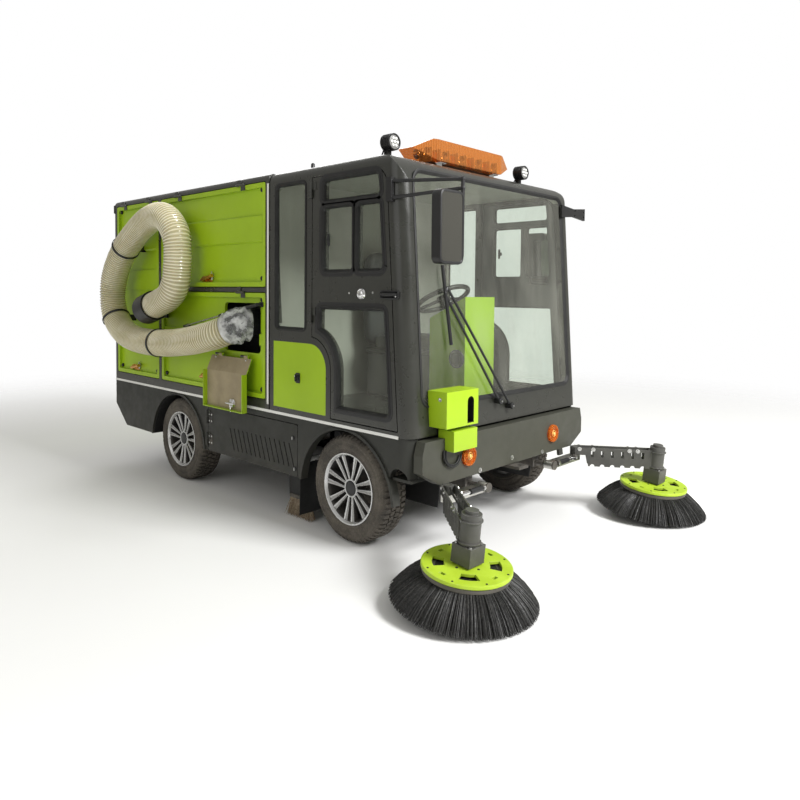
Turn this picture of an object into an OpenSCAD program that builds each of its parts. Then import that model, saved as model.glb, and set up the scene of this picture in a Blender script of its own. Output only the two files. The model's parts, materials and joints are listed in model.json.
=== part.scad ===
/* [Overall] */
// Length from the rear face of the body to the face of the front bumper
body_length = 3370; // [3300:10:3500]
// Width over the side panels
body_width = 1610; // [1580:10:1700]
// Height of the roof above the ground
roof_height = 2075; // [2020:5:2200]
// Height of the floor and of the white line above the ground
belt_height = 640; // [630:2:660]
// Height of the skirts' lower edge above the ground
skirt_height = 285; // [270:5:300]

/* [Cab] */
// Length of the cab from the bumper face to its back wall
cab_length = 1230; // [1210:10:1300]
// Backward lean of the windscreen in degrees
rake = 4; // [3:0.5:5]
// Radius of the cab's upper front corner
cab_corner = 170; // [150:5:190]
// Thickness of the cab walls and doors
cab_wall = 45; // [40:1:50]
// Length of the fixed quarter behind each door
quarter_length = 400; // [380:5:430]
// Distance by which the door's lower part starts farther forward
door_step = 165; // [150:5:180]
// Height at which the door's lower part begins
step_height = 1110; // [1080:5:1130]
// Width of the front pillar seen from the side
pillar_width = 85; // [80:1:95]
// Setback of the cab front behind the bumper face at the floor
cab_setback = 52; // [50:1:70]

/* [Body] */
// Length of the rear bay
rear_bay = 755; // [700:5:800]
// Height of the rail between the upper and lower hatches
rail_height = 1375; // [1340:5:1400]
// Thickness of the body walls and hatches
body_wall = 40; // [36:1:46]

/* [Wheels] */
// Distance between the front and rear axles
wheelbase = 1815; // [1790:5:1850]
// Distance from the bumper face to the front axle
front_overhang = 541; // [530:1:560]
// Outer diameter of the tyres
tyre_diameter = 590; // [570:2:600]
// Width of the tyres
tyre_width = 175; // [165:1:185]
// Diameter of the rim over its flanges
rim_diameter = 394; // [380:2:404]
// Distance of the tyre's outer face inside the body side
wheel_inset = 20; // [15:1:30]
// Radius of the wheel arches
arch_radius = 370; // [365:1:376]

/* [Brushes] */
// Diameter of the side brush at the bristle tips
brush_diameter = 662; // [640:2:680]
// Diameter of the side brush's disc
disc_diameter = 404; // [390:2:420]
// Depth of the side brush from the disc's top to the bristle tips
brush_drop = 157; // [150:1:165]
// Forward tilt of the side brushes in degrees
brush_tilt = 6; // [5:0.5:8]
// Length of the brush arm from its swing pin to the brush
arm_length = 490; // [480:2:520]
// Outward swing of the right brush in degrees
swing_right = 40; // [36:0.5:42]
// Outward swing of the left brush in degrees
swing_left = 34.5; // [32:0.5:38]
// Diameter of the roller brush under the floor
roller_diameter = 380; // [360:2:384]
// Length of the roller's bristles
roller_length = 1000; // [960:10:1020]

/* [Hose] */
// Outer diameter of the suction hose
hose_diameter = 190; // [180:2:196]
// Distance of the hose's middle outside the body side
hose_offset = 130; // [126:1:140]

/* [Hidden] */
$fn = 48;
rods_fn = 16;
green = [0.62, 0.78, 0.13];
grey = [0.22, 0.24, 0.25];
black = [0.06, 0.06, 0.065];
white = [0.9, 0.9, 0.88];
silver = [0.72, 0.73, 0.75];
amber = [0.95, 0.45, 0.05];
red = [0.7, 0.05, 0.04];
clear = [0.75, 0.82, 0.84, 0.35];
beige = [0.75, 0.68, 0.5];

// General clearances
over = 6;
seat_gap = 0.3;
run_gap = 0.05;
door_gap = 6;
sink = 1;

// Where things stand along the vehicle
ground_gap = 4;
arm_pin_ahead = 40;
arm_pin_in = 185;
brush_r = brush_diameter / 2;
disc_r = disc_diameter / 2;
brush_reach = arm_pin_ahead + arm_length * cos(swing_left) - brush_drop * sin(brush_tilt)
  + brush_r * cos(brush_tilt);
bumper_x = (body_length - brush_reach) / 2;
rear_x = bumper_x - body_length;
arm_pin_x = bumper_x + arm_pin_ahead;
cab_rear_x = bumper_x - cab_length;
front_axle_x = bumper_x - front_overhang;
rear_axle_x = front_axle_x - wheelbase;
side_y = body_width / 2;
arm_pin_side = side_y - arm_pin_in;
tyre_r = tyre_diameter / 2;
floor_z = belt_height + cab_wall;
cab_mid_x = (cab_rear_x + bumper_x) / 2;
wheel_y = side_y - wheel_inset - tyre_width / 2;
rim_r = rim_diameter / 2;

// Cab sizes
roof_edge = 60;
pillar_edge = 70;
door_drop = 66;
door_rise = 25;
door_corner = 110;
quarter_corner = 180;
quarter_frame = 38;
quarter_pocket = 10;
pane_frame = 62;
pane_corner = 26;
pane_set = 16;
pane_thick = 5;
pane_sill = 70;
pane_low_top_share = 0.4576;
pane_mid_share = 0.6064;
pane_mid_top_share = 0.8683;
pane_high_share = 0.8921;
pane_high_top_share = 0.98;
pane_split_share = 0.52;
pane_bar = 34;
pane_rear = 95;
quarter_pane_rise = 40;
quarter_pane_drop = 85;
quarter_pane_margin = 62;
screen_rise = 150;
screen_drop = 85;
screen_side = 100;
screen_corner = 60;
screen_set = 8;
screen_thick = 7;
door_rear_x = cab_rear_x + quarter_length;
door_low = belt_height + door_rise;
door_high = roof_height - door_drop;
door_span = door_high - door_low;
pane_low = door_low + pane_sill;
pane_low_top = door_low + door_span * pane_low_top_share;
pane_mid = door_low + door_span * pane_mid_share;
pane_mid_top = door_low + door_span * pane_mid_top_share;
pane_high = door_low + door_span * pane_high_share;
pane_high_top = door_low + door_span * pane_high_top_share;
quarter_pane_low = step_height + quarter_pane_rise;
quarter_pane_high = roof_height - quarter_pane_drop;
screen_low = belt_height + screen_rise;
screen_high = roof_height - screen_drop;

// Hinges
hinge_r = 8;
hinge_length = 90;
hinge_leaf = 34;
hinge_thick = 5;
door_hinge_rise = 80;
door_hinge_drop = 119;
door_hinge_low = step_height + door_hinge_rise;
door_hinge_high = door_high - door_hinge_drop;

// Body sizes
body_gap = 12;
body_front_x = cab_rear_x - body_gap;
bay_x = rear_x + rear_bay;
bay_post = 34;
bay_rail = 14;
bay_foot = 62;
bay_head = 42;
hatch_gap = 5;
hatch_corner = 14;
hatch_border = 34;
hatch_recess = 20;
hatch_ledge = 9;
press_top_share = 0.62;
press_mid_share = 0.50;
hinge_share = 0.2;
bays = [
  [rear_x + bay_post, bay_x - bay_post / 2, belt_height + bay_foot, roof_height - bay_head],
  [bay_x + bay_post / 2, body_front_x - bay_post, rail_height + bay_rail, roof_height - bay_head],
  [bay_x + bay_post / 2, body_front_x - bay_post, belt_height + bay_foot, rail_height - bay_rail]
];
bay_rear = 0;
bay_front = 1;
bay_low = 2;
bay_high = 3;
gate_side = 60;
port_wide = 410;
port_tall = 314;
port_ahead = 79;
port_drop = 69;
port_corner = 30;
port_x1 = body_front_x - bay_post - port_ahead;
port_x0 = port_x1 - port_wide;
port_high = rail_height - bay_rail - port_drop;
port_low = port_high - port_tall;

// Skirt sizes
skirt_thick = 40;
skirt_rear_rise = 160;
skirt_rear_cut = 190;
nose_drop = 210;
nose_back = 135;
nose_r = 70;
arch_head = 20;
lip_wide = 16;
lip_out = 10;
nose_low = belt_height - nose_drop;
arch_z = belt_height - arch_head - arch_radius;
vent_gap = 42;
vent_head = 44;
vent_x0 = rear_axle_x + arch_radius + vent_gap;
vent_x1 = front_axle_x - arch_radius - vent_gap;
vent_high = belt_height - vent_head;
vent_hinge_rise = 33;
vent_hinge_drop = 126;
vent_hinge_low = skirt_height + vent_hinge_rise;
vent_hinge_high = vent_high - vent_hinge_drop;
louvre_count = 14;
louvre_rise = 45;
louvre_drop = 116;
louvre_low = skirt_height + louvre_rise;
louvre_high = vent_high - louvre_drop;
louvre_wide = 9;
louvre_deep = 12;
louvre_lean = 20;
louvre_from_share = 0.3;
louvre_to_share = 0.94;
toe_back = 139;
toe_r = 52;
toe_step_back = 190;
toe_step_front = 60;
toe_step_deep = 120;
toe_step_thick = 14;
toe_step_lip = 26;
stripe_high = 16;
stripe_thick = 3;
stripe_back = 40;

// Bumper sizes
bumper_thick = 60;
bumper_back = bumper_x - bumper_thick;
bumper_drop = 12;
bumper_tall = 232;
bumper_in = 33;
bumper_top_in = 53;
bumper_foot_in = 165;
bumper_bend_drop = 68;
bumper_knee_rise = 74;
bumper_high = belt_height - bumper_drop;
bumper_low = bumper_high - bumper_tall;
bumper_wide = side_y - bumper_in;
bumper_top = side_y - bumper_top_in;
bumper_foot = side_y - bumper_foot_in;
bumper_bend = bumper_high - bumper_bend_drop;
bumper_knee = bumper_low + bumper_knee_rise;
lamp_in = 391;
lamp_rise = 114;
lamp_y = side_y - lamp_in;
lamp_z = bumper_low + lamp_rise;
lamp_r = 50;
lamp_out = 14;

// Roller sizes
roller_back = 639;
roller_x = front_axle_x - roller_back;
roller_r = roller_diameter / 2;
roller_z = roller_r + ground_gap;
roller_shaft = 25;
roller_shaft_end = 45;
roller_shaft_half = roller_length / 2 + roller_shaft_end;
hood_gap = 20;
hood_thick = 6;
hood_end_gap = 20;
hood_end_thick = 12;
hood_low = 40;
hood_post = 24;
flap_thick = 10;
flap_low = 14;

// Frame sizes
rail_y = 330;
rail_wide = 60;
rail_out = rail_y + rail_wide / 2;
rail_room = 90;
rail_drop = 70;
rail_low = roller_diameter + rail_room;
rail_high = belt_height - rail_drop;
cross_wide = 60;
cross_in = 105;
cross_front_in = 215;
cross_ahead = 200;
cross_behind = 150;
cross_arch = 46;
cross_half = side_y - cross_in;
cross_front_half = side_y - cross_front_in;
tow_back = 190;
tow_x = bumper_x - tow_back;
tow_rear_in = 130;
tow_rear_x = rear_x + tow_rear_in;
cross_x = [
  [tow_x, cross_front_half],
  [roller_x + cross_ahead, cross_half],
  [roller_x - cross_behind, cross_half],
  [rear_axle_x + arch_radius + cross_arch, cross_half],
  [rear_axle_x - arch_radius - cross_arch, cross_half],
  [tow_rear_x, cross_half]
];
cross_at = 0;
cross_reach = 1;
tray_back = 64;
tray_ahead = 24;
tray_rise = 3;
tray_in = 70;
tray_thick = 12;
tray_x0 = vent_x0 + tray_back;
tray_x1 = roller_x - roller_r - hood_gap - hood_thick - tray_ahead;
tray_low = skirt_height + tray_rise;
tray_out = side_y - tray_in;
battery_drop = 16;
battery_high = vent_high - battery_drop;
battery_gap = 8;
tow_wide = 90;
tow_half = tow_wide / 2;
tow_ahead = 75;
tow_bore_r = 15;
tow_bore_ahead = 40;
tow_thick = 16;
tow_drop = 20;
tow_low = bumper_low - tow_drop;
tow_rear_drop = 42;
tow_rear_low = rail_low - tow_rear_drop;
tow_drop_wide = 40;

// Axle sizes
king_in = 157.5;
king_y = wheel_y - king_in;
king_r = 14;
king_barrel = 30;
king_half = 50;
yoke_thick = 16;
yoke_reach = 70;
yoke_in = king_y - yoke_reach;
beam_half = 30;
stub_r = 30;
drum_r = 140;
drum_in = 80;
drum_out = 26;
hub_r = 55;
hub_in = 20;
stub_out = 48;
axle_r = 42;
axle_ball = 115;
axle_ball_half = 95;
spring_half = 330;
spring_wide = 60;
spring_thick = 36;
spring_end = 40;
spring_low = tyre_r + axle_r - sink;

// Wheel sizes
bead_step = 12;
bead_r = rim_r - bead_step;
barrel_thick = 10;
flange_wide = 6;
flange_in = 7.5;
flange_at = tyre_width / 2 - flange_in;
spoke_count = 7;
spoke_wide = 19;
spoke_spread = 8.2;
spoke_set = 18;
spoke_thick = 20;
spoke_high = flange_at - spoke_set;
spoke_low = spoke_high - spoke_thick;
hub_rise = 2;
hub_out = spoke_high + hub_rise;
ring_wide = 14;
tread_groove = 8;
tread_deep = 7;
shoulder_r = 22;
shoulder_in = 24;
bulge_in = 3;

// Brush sizes
lift_y = rail_y;
lift_z = 335;
lift_pin_r = 14;
lift_barrel_r = 26;
lift_from = 12;
lift_to = 68;
lift_cap = 10;
lift_block = 110;
beam_high = 40;
beam_wide = 50;
beam_over = 30;
swing_pin_r = 14;
swing_barrel_r = 27;
swing_low = 2;
swing_high = 46;
cheek_thick = 8;
cheek_half = 36;
cheek_from = 70;
cheek_drop = 70;
cheek_slots = 6;
cheek_slot_wide = 16;
cheek_slot_low = 12;
cheek_slot_high = 40;
cheek_tooth = 14;
gear_half = 52;
gear_low = 8;
gear_high = 92;
motor_r = 46;
motor_high = 228;
motor_cap_r = 30;
motor_cap_high = 244;
shaft_r = 15;
disc_thick = 12;
disc_rim = 34;
disc_rim_wide = 8;
disc_slots = 6;
disc_slot_in = 92;
disc_slot_out = 158;
disc_slot_wide = 30;
bristle_in_top = 60;
bristle_in_low = 60;
brush_z = ground_gap + brush_drop * cos(brush_tilt) + brush_r * sin(brush_tilt);

// Fittings
bar_back = 450;
bar_x = bumper_x - bar_back;
bar_half = 450;
bar_end = 300;
bar_deep = 115;
bar_tip = 55;
bar_foot_y = 250;
bar_foot = 40;
bar_foot_high = 24;
bar_base_high = 18;
bar_high = 118;
bar_top = 330;
work_right_back = 300;
work_left_back = 290;
work_right_in = 115;
work_left_in = 315;
work_lamps = [
  [bumper_x - work_right_back, -side_y + work_right_in],
  [bumper_x - work_left_back, side_y - work_left_in]
];
work_x = 0;
work_y = 1;
work_r = 42;
work_back = 60;
work_rise = 74;
work_post = 14;
bracket_drop = 205;
bracket_tall = 80;
bracket_thick = 16;
bracket_in = 120;
bracket_out = 175;
bracket_waist = 14;
bracket_hole = 7;
bracket_hole_in = 16;
rod_r = 9;
mirror_wide = 170;
mirror_high = 340;
mirror_thick = 46;
mirror_corner = 34;

// Interior
seat_wide = 500;
seat_behind = 110;
seat_x0 = cab_rear_x + seat_behind;
seat_y = 60;
seat_base_rise = 315;
seat_base_high = floor_z + seat_base_rise;
seat_base_half = 190;
seat_base_front = 420;
seat_cushion = 95;
seat_cushion_front = 470;
seat_corner = 40;
seat_back_thick = 110;
seat_back_rise = 640;
seat_back_high = seat_base_high + seat_back_rise;
console_y0 = -82;
console_y1 = 205;
console_rise = 661;
console_slope = 133;
knee_room = 70;
console_ahead = 154;
console_high = floor_z + console_rise;
console_low = console_high - console_slope;
console_x0 = seat_x0 + seat_cushion_front + knee_room;
console_x1 = front_x(console_high) - cab_wall - console_ahead;
steer_back = 20;
steer_x = console_x0 - steer_back;
steer_rise = 117;
steer_z = console_low + steer_rise;
steer_r = 185;
steer_tube = 15;
steer_lean = 28;
steer_hub = 36;
steer_spoke = 22;
steer_column_r = 26;
steer_column = (steer_back + (console_x1 - console_x0) / 2) / sin(steer_lean);

// Hose fittings
tray_deep = 150;
tray_wall = 6;
tray_rim = 20;
elbow_long = 100;
elbow_in = 3;
elbow_r = hose_diameter / 2 - elbow_in;
cup_wall = 12;
cup_over = 60;
cup_long = 70;
cup_foot = 70;
cup_foot_thick = 14;
cup_post = 44;
strap_wall = 5;
strap_wide = 16;
strap_gap = 1.2;
strap_foot = 24;
strap_at = [30, 42, 18];
port_flap_behind = 95;
port_flap_ahead = 45;
port_flap_drop = 23;
port_flap_x0 = port_x0 - port_flap_behind;
port_flap_x1 = port_x1 - port_flap_ahead;
port_flap_z = port_low - port_flap_drop;
port_flap_out = 14;
port_flap_thick = 6;
port_flap_neck = 12;
port_flap_bend = 105;
port_flap_step = 36;
port_flap_long = 345;
port_flap_rim = 36;
port_lug = 40;
port_lug_shares = [0.1, 0.74];

// Front fittings
holder_out = 60;
holder_in = 141;
holder_wide = 254;
holder_rise = 50;
holder_tall = 184;
holder_slot_in = 37;
holder_slot_wide = 52;
holder_slot_foot = 12;
holder_slot_head = 62;
holder_slot_deep = 62;
holder_y0 = -side_y + holder_in;
holder_y1 = holder_y0 + holder_wide;
holder_low = belt_height + holder_rise;
holder_high = holder_low + holder_tall;
holder_slot_y1 = holder_y1 - holder_slot_in;
holder_slot_y0 = holder_slot_y1 - holder_slot_wide;
holder_slot_low = holder_low + holder_slot_foot;
holder_slot_high = holder_high - holder_slot_head;
hook_out = 59;
hook_in = 6;
hook_drop = 63;
hook_rise = 43;
hook_y0 = holder_y0 + hook_out;
hook_y1 = holder_y1 - hook_in;
hook_low = bumper_high - hook_drop;
hook_high = bumper_high + hook_rise;
mirror_drop = 575;
mirror_ahead = 185;
mirror_out = 100;
mirror_base_drop = 255;
mirror_base_high = 120;
mirror_base_thick = 22;
mirror_base_back = 80;
mirror_base_wide = 38;
mirror_tube_in = 90;
mirror_tube_drop = 170;
mirror_tube_rise = 40;
mirror_fork_drop = 213;
mirror_ball = 13;
mirror_z = roof_height - mirror_drop;
mirror_y = side_y + mirror_out;
mirror_base_z = roof_height - mirror_base_drop;
mirror_tube_y = side_y - mirror_tube_in;
mirror_tube_top = roof_height - mirror_tube_drop;
mirror_tube_low = mirror_z + mirror_tube_rise;
mirror_fork = roof_height - mirror_fork_drop;
mirror_left_back = 530;
mirror_left_drop = 620;
mirror_left_out = 62;
mirror_stand_back = 255;
mirror_stand_rise = 20;
mirror_left_x = bumper_x - mirror_left_back;
mirror_left_z = roof_height - mirror_left_drop;
mirror_stand_x = bumper_x - mirror_stand_back;
mirror_stand_z = [(pane_mid_top + pane_high) / 2, (pane_low_top + pane_mid) / 2 + mirror_stand_rise];
mirror_stand_r = 13;
wiper_off = 26;
wiper_r = 7;
wiper_blade_r = 9;
wiper_boss = 18;
// Wiper places across and up the cab front, as shares of the half width and of the height above the floor
wiper_foot_shares = [[0.016, 0.0585], [-0.118, 0.085]];
wiper_head_shares = [[-0.631, 0.527], [-0.658, 0.506]];
wiper_blade_shares = [[-0.616, 0.3185], [-0.672, 0.608]];
wiper_y = 0;
wiper_z = 1;
tail_in = 65;
tail_wide = 180;
tail_drop = 50;
tail_tall = 90;
tail_y1 = side_y - tail_in;
tail_y0 = tail_y1 - tail_wide;
tail_high = belt_height - tail_drop;
tail_low = tail_high - tail_tall;
tail_out = 20;

function front_x(z) = bumper_x - cab_setback - (z - belt_height) * tan(rake);
function ahead_of(a, b) = (b - a) / norm(b - a);
function outward(a, b) = [ahead_of(a, b)[1], -ahead_of(a, b)[0]];

// Convex outline with round corners about the given corner centres
module soft(points, r) {
  count = len(points);
  polygon([
    for (i = [0 : count - 1])
      for (end = [0, 1])
        points[(i + end) % count] + r * outward(points[i], points[(i + 1) % count])
  ]);
  for (p = points)
    translate(p)
      circle(r);
}

// Upright rectangle with round corners
module soft_box(x0, x1, low, high, r) {
  soft([[x0 + r, low + r], [x1 - r, low + r], [x1 - r, high - r], [x0 + r, high - r]], r);
}

// Side outline spread evenly across the vehicle
module across(wide) {
  rotate([90, 0, 0])
    linear_extrude(wide, center = true)
      children();
}

// Front outline carried along the vehicle
module along(x0, x1) {
  translate([x0, 0, 0])
    rotate([90, 0, 90])
      linear_extrude(x1 - x0)
        children();
}

// Side outline as a plate in the left side
module side_plate(depth, thick) {
  translate([0, side_y - depth, 0])
    rotate([90, 0, 0])
      linear_extrude(thick)
        children();
}

module on_right() {
  mirror([0, 1, 0])
    children();
}

module both() {
  children();
  on_right()
    children();
}

// Round bar between two points
module rod(a, b, r) {
  run = b - a;
  translate(a)
    rotate([0, acos(run[2] / norm(run)), atan2(run[1], run[0])])
      cylinder(h = norm(run), r = r, $fn = rods_fn);
}

// Box between two opposite corners
module block(a, b) {
  translate(a)
    cube(b - a);
}

// Half of a hinge on a vertical axis, with the moving side forward
module hinge_fixed() {
  half = hinge_length / 2 - seat_gap / 2;
  cylinder(h = half, r = hinge_r);
  translate([-hinge_leaf, -hinge_r - sink, 0])
    cube([hinge_leaf, hinge_thick + sink, half]);
}

module hinge_moving() {
  half = hinge_length / 2 - seat_gap / 2;
  translate([0, 0, hinge_length / 2 + seat_gap / 2]) {
    cylinder(h = half, r = hinge_r);
    translate([0, -hinge_r - sink, 0])
      cube([hinge_leaf, hinge_thick + sink, half]);
  }
}

// Outline with a raked front edge and a round upper front corner
module raked(rear, low, high, gap, r) {
  slope = [cos(rake), sin(rake)];
  c = [front_x(high - r) - (gap + r) / cos(rake), high - r];
  polygon([
    [rear, low],
    [front_x(low) - gap / cos(rake), low],
    c + r * slope,
    c,
    [c[0], high],
    [rear, high]
  ]);
  translate(c)
    circle(r);
}

// Fixed quarter behind the door, smaller by an inset
module quarter(inset) {
  x1 = door_rear_x + door_step - inset;
  z1 = step_height - inset;
  x0 = cab_rear_x + inset;
  z0 = belt_height + inset;
  r = min(quarter_corner - inset, (z1 - z0) / 2);
  polygon([[x0, z0], [x1, z0], [x1, z1 - r], [x1 - r, z1 - r], [x1 - r, z1], [x0, z1]]);
  translate([x1 - r, z1 - r])
    circle(r);
}

module door_outline(grow) {
  difference() {
    raked(door_rear_x - grow, door_low - grow, door_high + grow, pillar_width - grow, door_corner + grow);
    translate([-over, -over])
      quarter(grow);
    quarter(grow);
  }
}

// Door windows, smaller by a seal gap
module panes(gap) {
  r = pane_corner;
  edge = pillar_width + pane_frame;
  x0 = door_rear_x + pane_rear + r;
  split = x0 + (front_x(pane_mid) - edge - x0) * pane_split_share;
  soft([
    [x0, pane_high + r],
    [front_x(pane_high) - edge - r, pane_high + r],
    [front_x(pane_high_top) - edge - r, pane_high_top - r],
    [x0, pane_high_top - r]
  ], r - gap);
  soft([
    [x0, pane_mid + r],
    [split - pane_bar / 2 - r, pane_mid + r],
    [split - pane_bar / 2 - r, pane_mid_top - r],
    [x0, pane_mid_top - r]
  ], r - gap);
  soft([
    [split + pane_bar / 2 + r, pane_mid + r],
    [front_x(pane_mid) - edge - r, pane_mid + r],
    [front_x(pane_mid_top) - edge - r, pane_mid_top - r],
    [split + pane_bar / 2 + r, pane_mid_top - r]
  ], r - gap);
  difference() {
    soft([
      [door_rear_x + pane_frame + r, pane_low + r],
      [front_x(pane_low) - edge - r, pane_low + r],
      [front_x(pane_low_top) - edge - r, pane_low_top - r],
      [door_rear_x + pane_frame + r, pane_low_top - r]
    ], r - gap);
    translate([0, -pane_frame])
      quarter(-pane_frame - gap);
    quarter(-pane_frame - gap);
  }
}

module quarter_pane(gap) {
  soft_box(cab_rear_x + quarter_pane_margin + gap, door_rear_x - quarter_pane_margin - gap,
    quarter_pane_low + gap, quarter_pane_high - gap, pane_corner);
}

module screen_outline(gap) {
  soft_box(-side_y + screen_side + gap, side_y - screen_side - gap, screen_low + gap, screen_high - gap,
    screen_corner);
}

// Cab block, smaller by an inset
module cab_block(inset) {
  half = side_y - inset;
  high = roof_height - inset;
  low = belt_height + inset;
  edge = max(roof_edge - inset, sink);
  pillar = max(pillar_edge - inset, sink);
  intersection() {
    across(2 * half)
      raked(cab_rear_x + inset, low, high, inset, cab_corner - inset);
    along(cab_rear_x, bumper_x) {
      translate([-half, low])
        square([2 * half, high - low - edge]);
      translate([-half + edge, low])
        square([2 * half - 2 * edge, high - low]);
      for (s = [-1, 1])
        translate([s * (half - edge), high - edge])
          circle(edge);
    }
    translate([front_x(belt_height) - inset / cos(rake), 0, belt_height])
      rotate([0, -rake, 0])
        translate([0, 0, -cab_corner])
          linear_extrude(roof_height) {
            translate([-cab_length - cab_corner, -half])
              square([cab_length + cab_corner - pillar, 2 * half]);
            translate([-cab_length - cab_corner, -half + pillar])
              square([cab_length + cab_corner, 2 * half - 2 * pillar]);
            for (s = [-1, 1])
              translate([-pillar, s * (half - pillar)])
                circle(pillar);
          }
  }
}

module cab_shell() {
  color(grey) {
    difference() {
      cab_block(0);
      cab_block(cab_wall);
      along(cab_mid_x, bumper_x)
        screen_outline(0);
      both() {
        side_plate(-over, cab_wall + 2 * over)
          door_outline(0);
        side_plate(-over, cab_wall + 2 * over)
          quarter_pane(0);
        side_plate(-over, over + quarter_pocket)
          quarter(quarter_frame);
      }
    }
    both()
      for (z = [door_hinge_low, door_hinge_high])
        translate([door_rear_x + door_gap / 2, side_y + hinge_r, z])
          hinge_fixed();
  }
}

module quarter_panels() {
  color(green)
    both()
      side_plate(0, quarter_pocket)
        quarter(quarter_frame + seat_gap);
}

module cab_glass() {
  back = screen_set + screen_thick;
  color(clear)
    union() {
      intersection() {
        along(cab_mid_x, bumper_x)
          screen_outline(seat_gap);
        across(body_width)
          polygon([
            [front_x(screen_low) - back, screen_low],
            [front_x(screen_low) - screen_set, screen_low],
            [front_x(screen_high) - screen_set, screen_high],
            [front_x(screen_high) - back, screen_high]
          ]);
      }
      both()
        side_plate(pane_set, pane_thick)
          quarter_pane(seat_gap);
    }
}

module door() {
  difference() {
    side_plate(0, cab_wall)
      door_outline(-door_gap);
    side_plate(-over, cab_wall + 2 * over)
      panes(0);
  }
  for (z = [door_hinge_low, door_hinge_high])
    translate([door_rear_x + door_gap / 2, side_y + hinge_r, z])
      hinge_moving();
}

module door_right() {
  color(grey)
    on_right()
      door();
}

module door_left() {
  color(grey)
    door();
}

module door_panes() {
  side_plate(pane_set, pane_thick)
    panes(seat_gap);
}

module door_glass_right() {
  color(clear)
    on_right()
      door_panes();
}

module door_glass_left() {
  color(clear)
    door_panes();
}

module bay_outline(bay, gap) {
  soft_box(bay[bay_rear] + gap, bay[bay_front] - gap, bay[bay_low] + gap, bay[bay_high] - gap, hatch_corner);
}

module gate_outline(gap) {
  soft_box(-side_y + gate_side + gap, side_y - gate_side - gap, belt_height + bay_foot + gap,
    roof_height - bay_head - gap, hatch_corner);
}

// Hinge places along the top of a bay
function hinge_spots(bay) = [
  for (share = [hinge_share, 1 - hinge_share])
    bay[bay_rear] + (bay[bay_front] - bay[bay_rear]) * share - hinge_length / 2
];

// Place of a hinge at the head of the tailgate
module tail_hinge(s) {
  translate([rear_x - hinge_r, s * side_y / 2 - hinge_length / 2, roof_height - bay_head - hatch_gap / 2])
    children();
}

module body_shell() {
  color(grey) {
    difference() {
      along(rear_x, body_front_x) {
        translate([-side_y, belt_height])
          square([body_width, roof_height - belt_height - bay_post]);
        translate([-side_y + bay_post, belt_height])
          square([body_width - 2 * bay_post, roof_height - belt_height]);
        for (s = [-1, 1])
          translate([s * (side_y - bay_post), roof_height - bay_post])
            circle(bay_post);
      }
      block([rear_x + body_wall, -side_y + body_wall, belt_height + body_wall],
        [body_front_x - body_wall, side_y - body_wall, roof_height - body_wall]);
      both()
        for (bay = bays)
          side_plate(-over, body_wall + 2 * over)
            bay_outline(bay, 0);
      along(rear_x - over, rear_x + body_wall + over)
        gate_outline(0);
    }
    both()
      for (bay = bays)
        for (x = hinge_spots(bay))
          translate([x, side_y + hinge_r, bay[bay_high] - hatch_gap / 2])
            rotate([0, 90, 0])
              hinge_fixed();
    for (s = [-1, 1])
      tail_hinge(s)
        rotate([0, 90, 90])
          hinge_fixed();
  }
}

// Pressed hatch on the left side
module hatch(bay) {
  x0 = bay[bay_rear] + hatch_border;
  x1 = bay[bay_front] - hatch_border;
  z0 = bay[bay_low] + hatch_border;
  z1 = bay[bay_high] - hatch_border;
  mid0 = z0 + (z1 - z0) * press_mid_share;
  mid1 = z0 + (z1 - z0) * press_top_share;
  difference() {
    side_plate(0, body_wall)
      bay_outline(bay, hatch_gap);
    side_plate(-over, hatch_recess + over)
      soft_box(x0, x1, z0, mid0, hatch_corner);
    side_plate(-over, hatch_ledge + over)
      soft_box(x0, x1, mid0 - hatch_border, mid1 + hatch_border, hatch_corner);
    side_plate(-over, hatch_recess + over)
      soft_box(x0, x1, mid1, z1, hatch_corner);
  }
  for (x = hinge_spots(bay))
    translate([x, side_y + hinge_r, bay[bay_high] - hatch_gap / 2])
      rotate([0, 90, 0])
        hinge_moving();
}

module port_outline(grow) {
  soft_box(port_x0 - grow, port_x1 + grow, port_low - grow, port_high + grow, port_corner);
}

module hatches_right() {
  color(green)
    on_right() {
      difference() {
        for (bay = bays)
          hatch(bay);
        side_plate(-over, body_wall + 2 * over)
          port_outline(0);
      }
      flap_lugs();
    }
}

module hatch_left_rear() {
  color(green)
    hatch(bays[0]);
}

module hatch_left_upper() {
  color(green)
    hatch(bays[1]);
}

module hatch_left_lower() {
  color(green)
    hatch(bays[2]);
}

module tailgate() {
  color(green)
    union() {
      difference() {
        along(rear_x, rear_x + body_wall)
          gate_outline(hatch_gap);
        along(rear_x - over, rear_x + hatch_recess)
          soft_box(-side_y + gate_side + hatch_border, side_y - gate_side - hatch_border,
            belt_height + bay_foot + hatch_border, rail_height, hatch_corner);
        along(rear_x - over, rear_x + hatch_recess)
          soft_box(-side_y + gate_side + hatch_border, side_y - gate_side - hatch_border,
            rail_height + bay_foot, roof_height - bay_head - hatch_border, hatch_corner);
      }
      for (s = [-1, 1])
        tail_hinge(s)
          rotate([0, 90, 90])
            hinge_moving();
    }
}

// Shelf for the toe under the nose, with a turned-up front edge
module toe_step() {
  x0 = bumper_x - toe_step_back;
  x1 = bumper_x - toe_step_front;
  y0 = side_y - toe_step_deep;
  block([x0, y0, nose_low - toe_step_thick], [x1, side_y - lip_wide, nose_low + sink]);
  block([x1 - toe_step_thick, y0, nose_low], [x1, side_y - nose_r, nose_low + toe_step_lip]);
}

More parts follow.
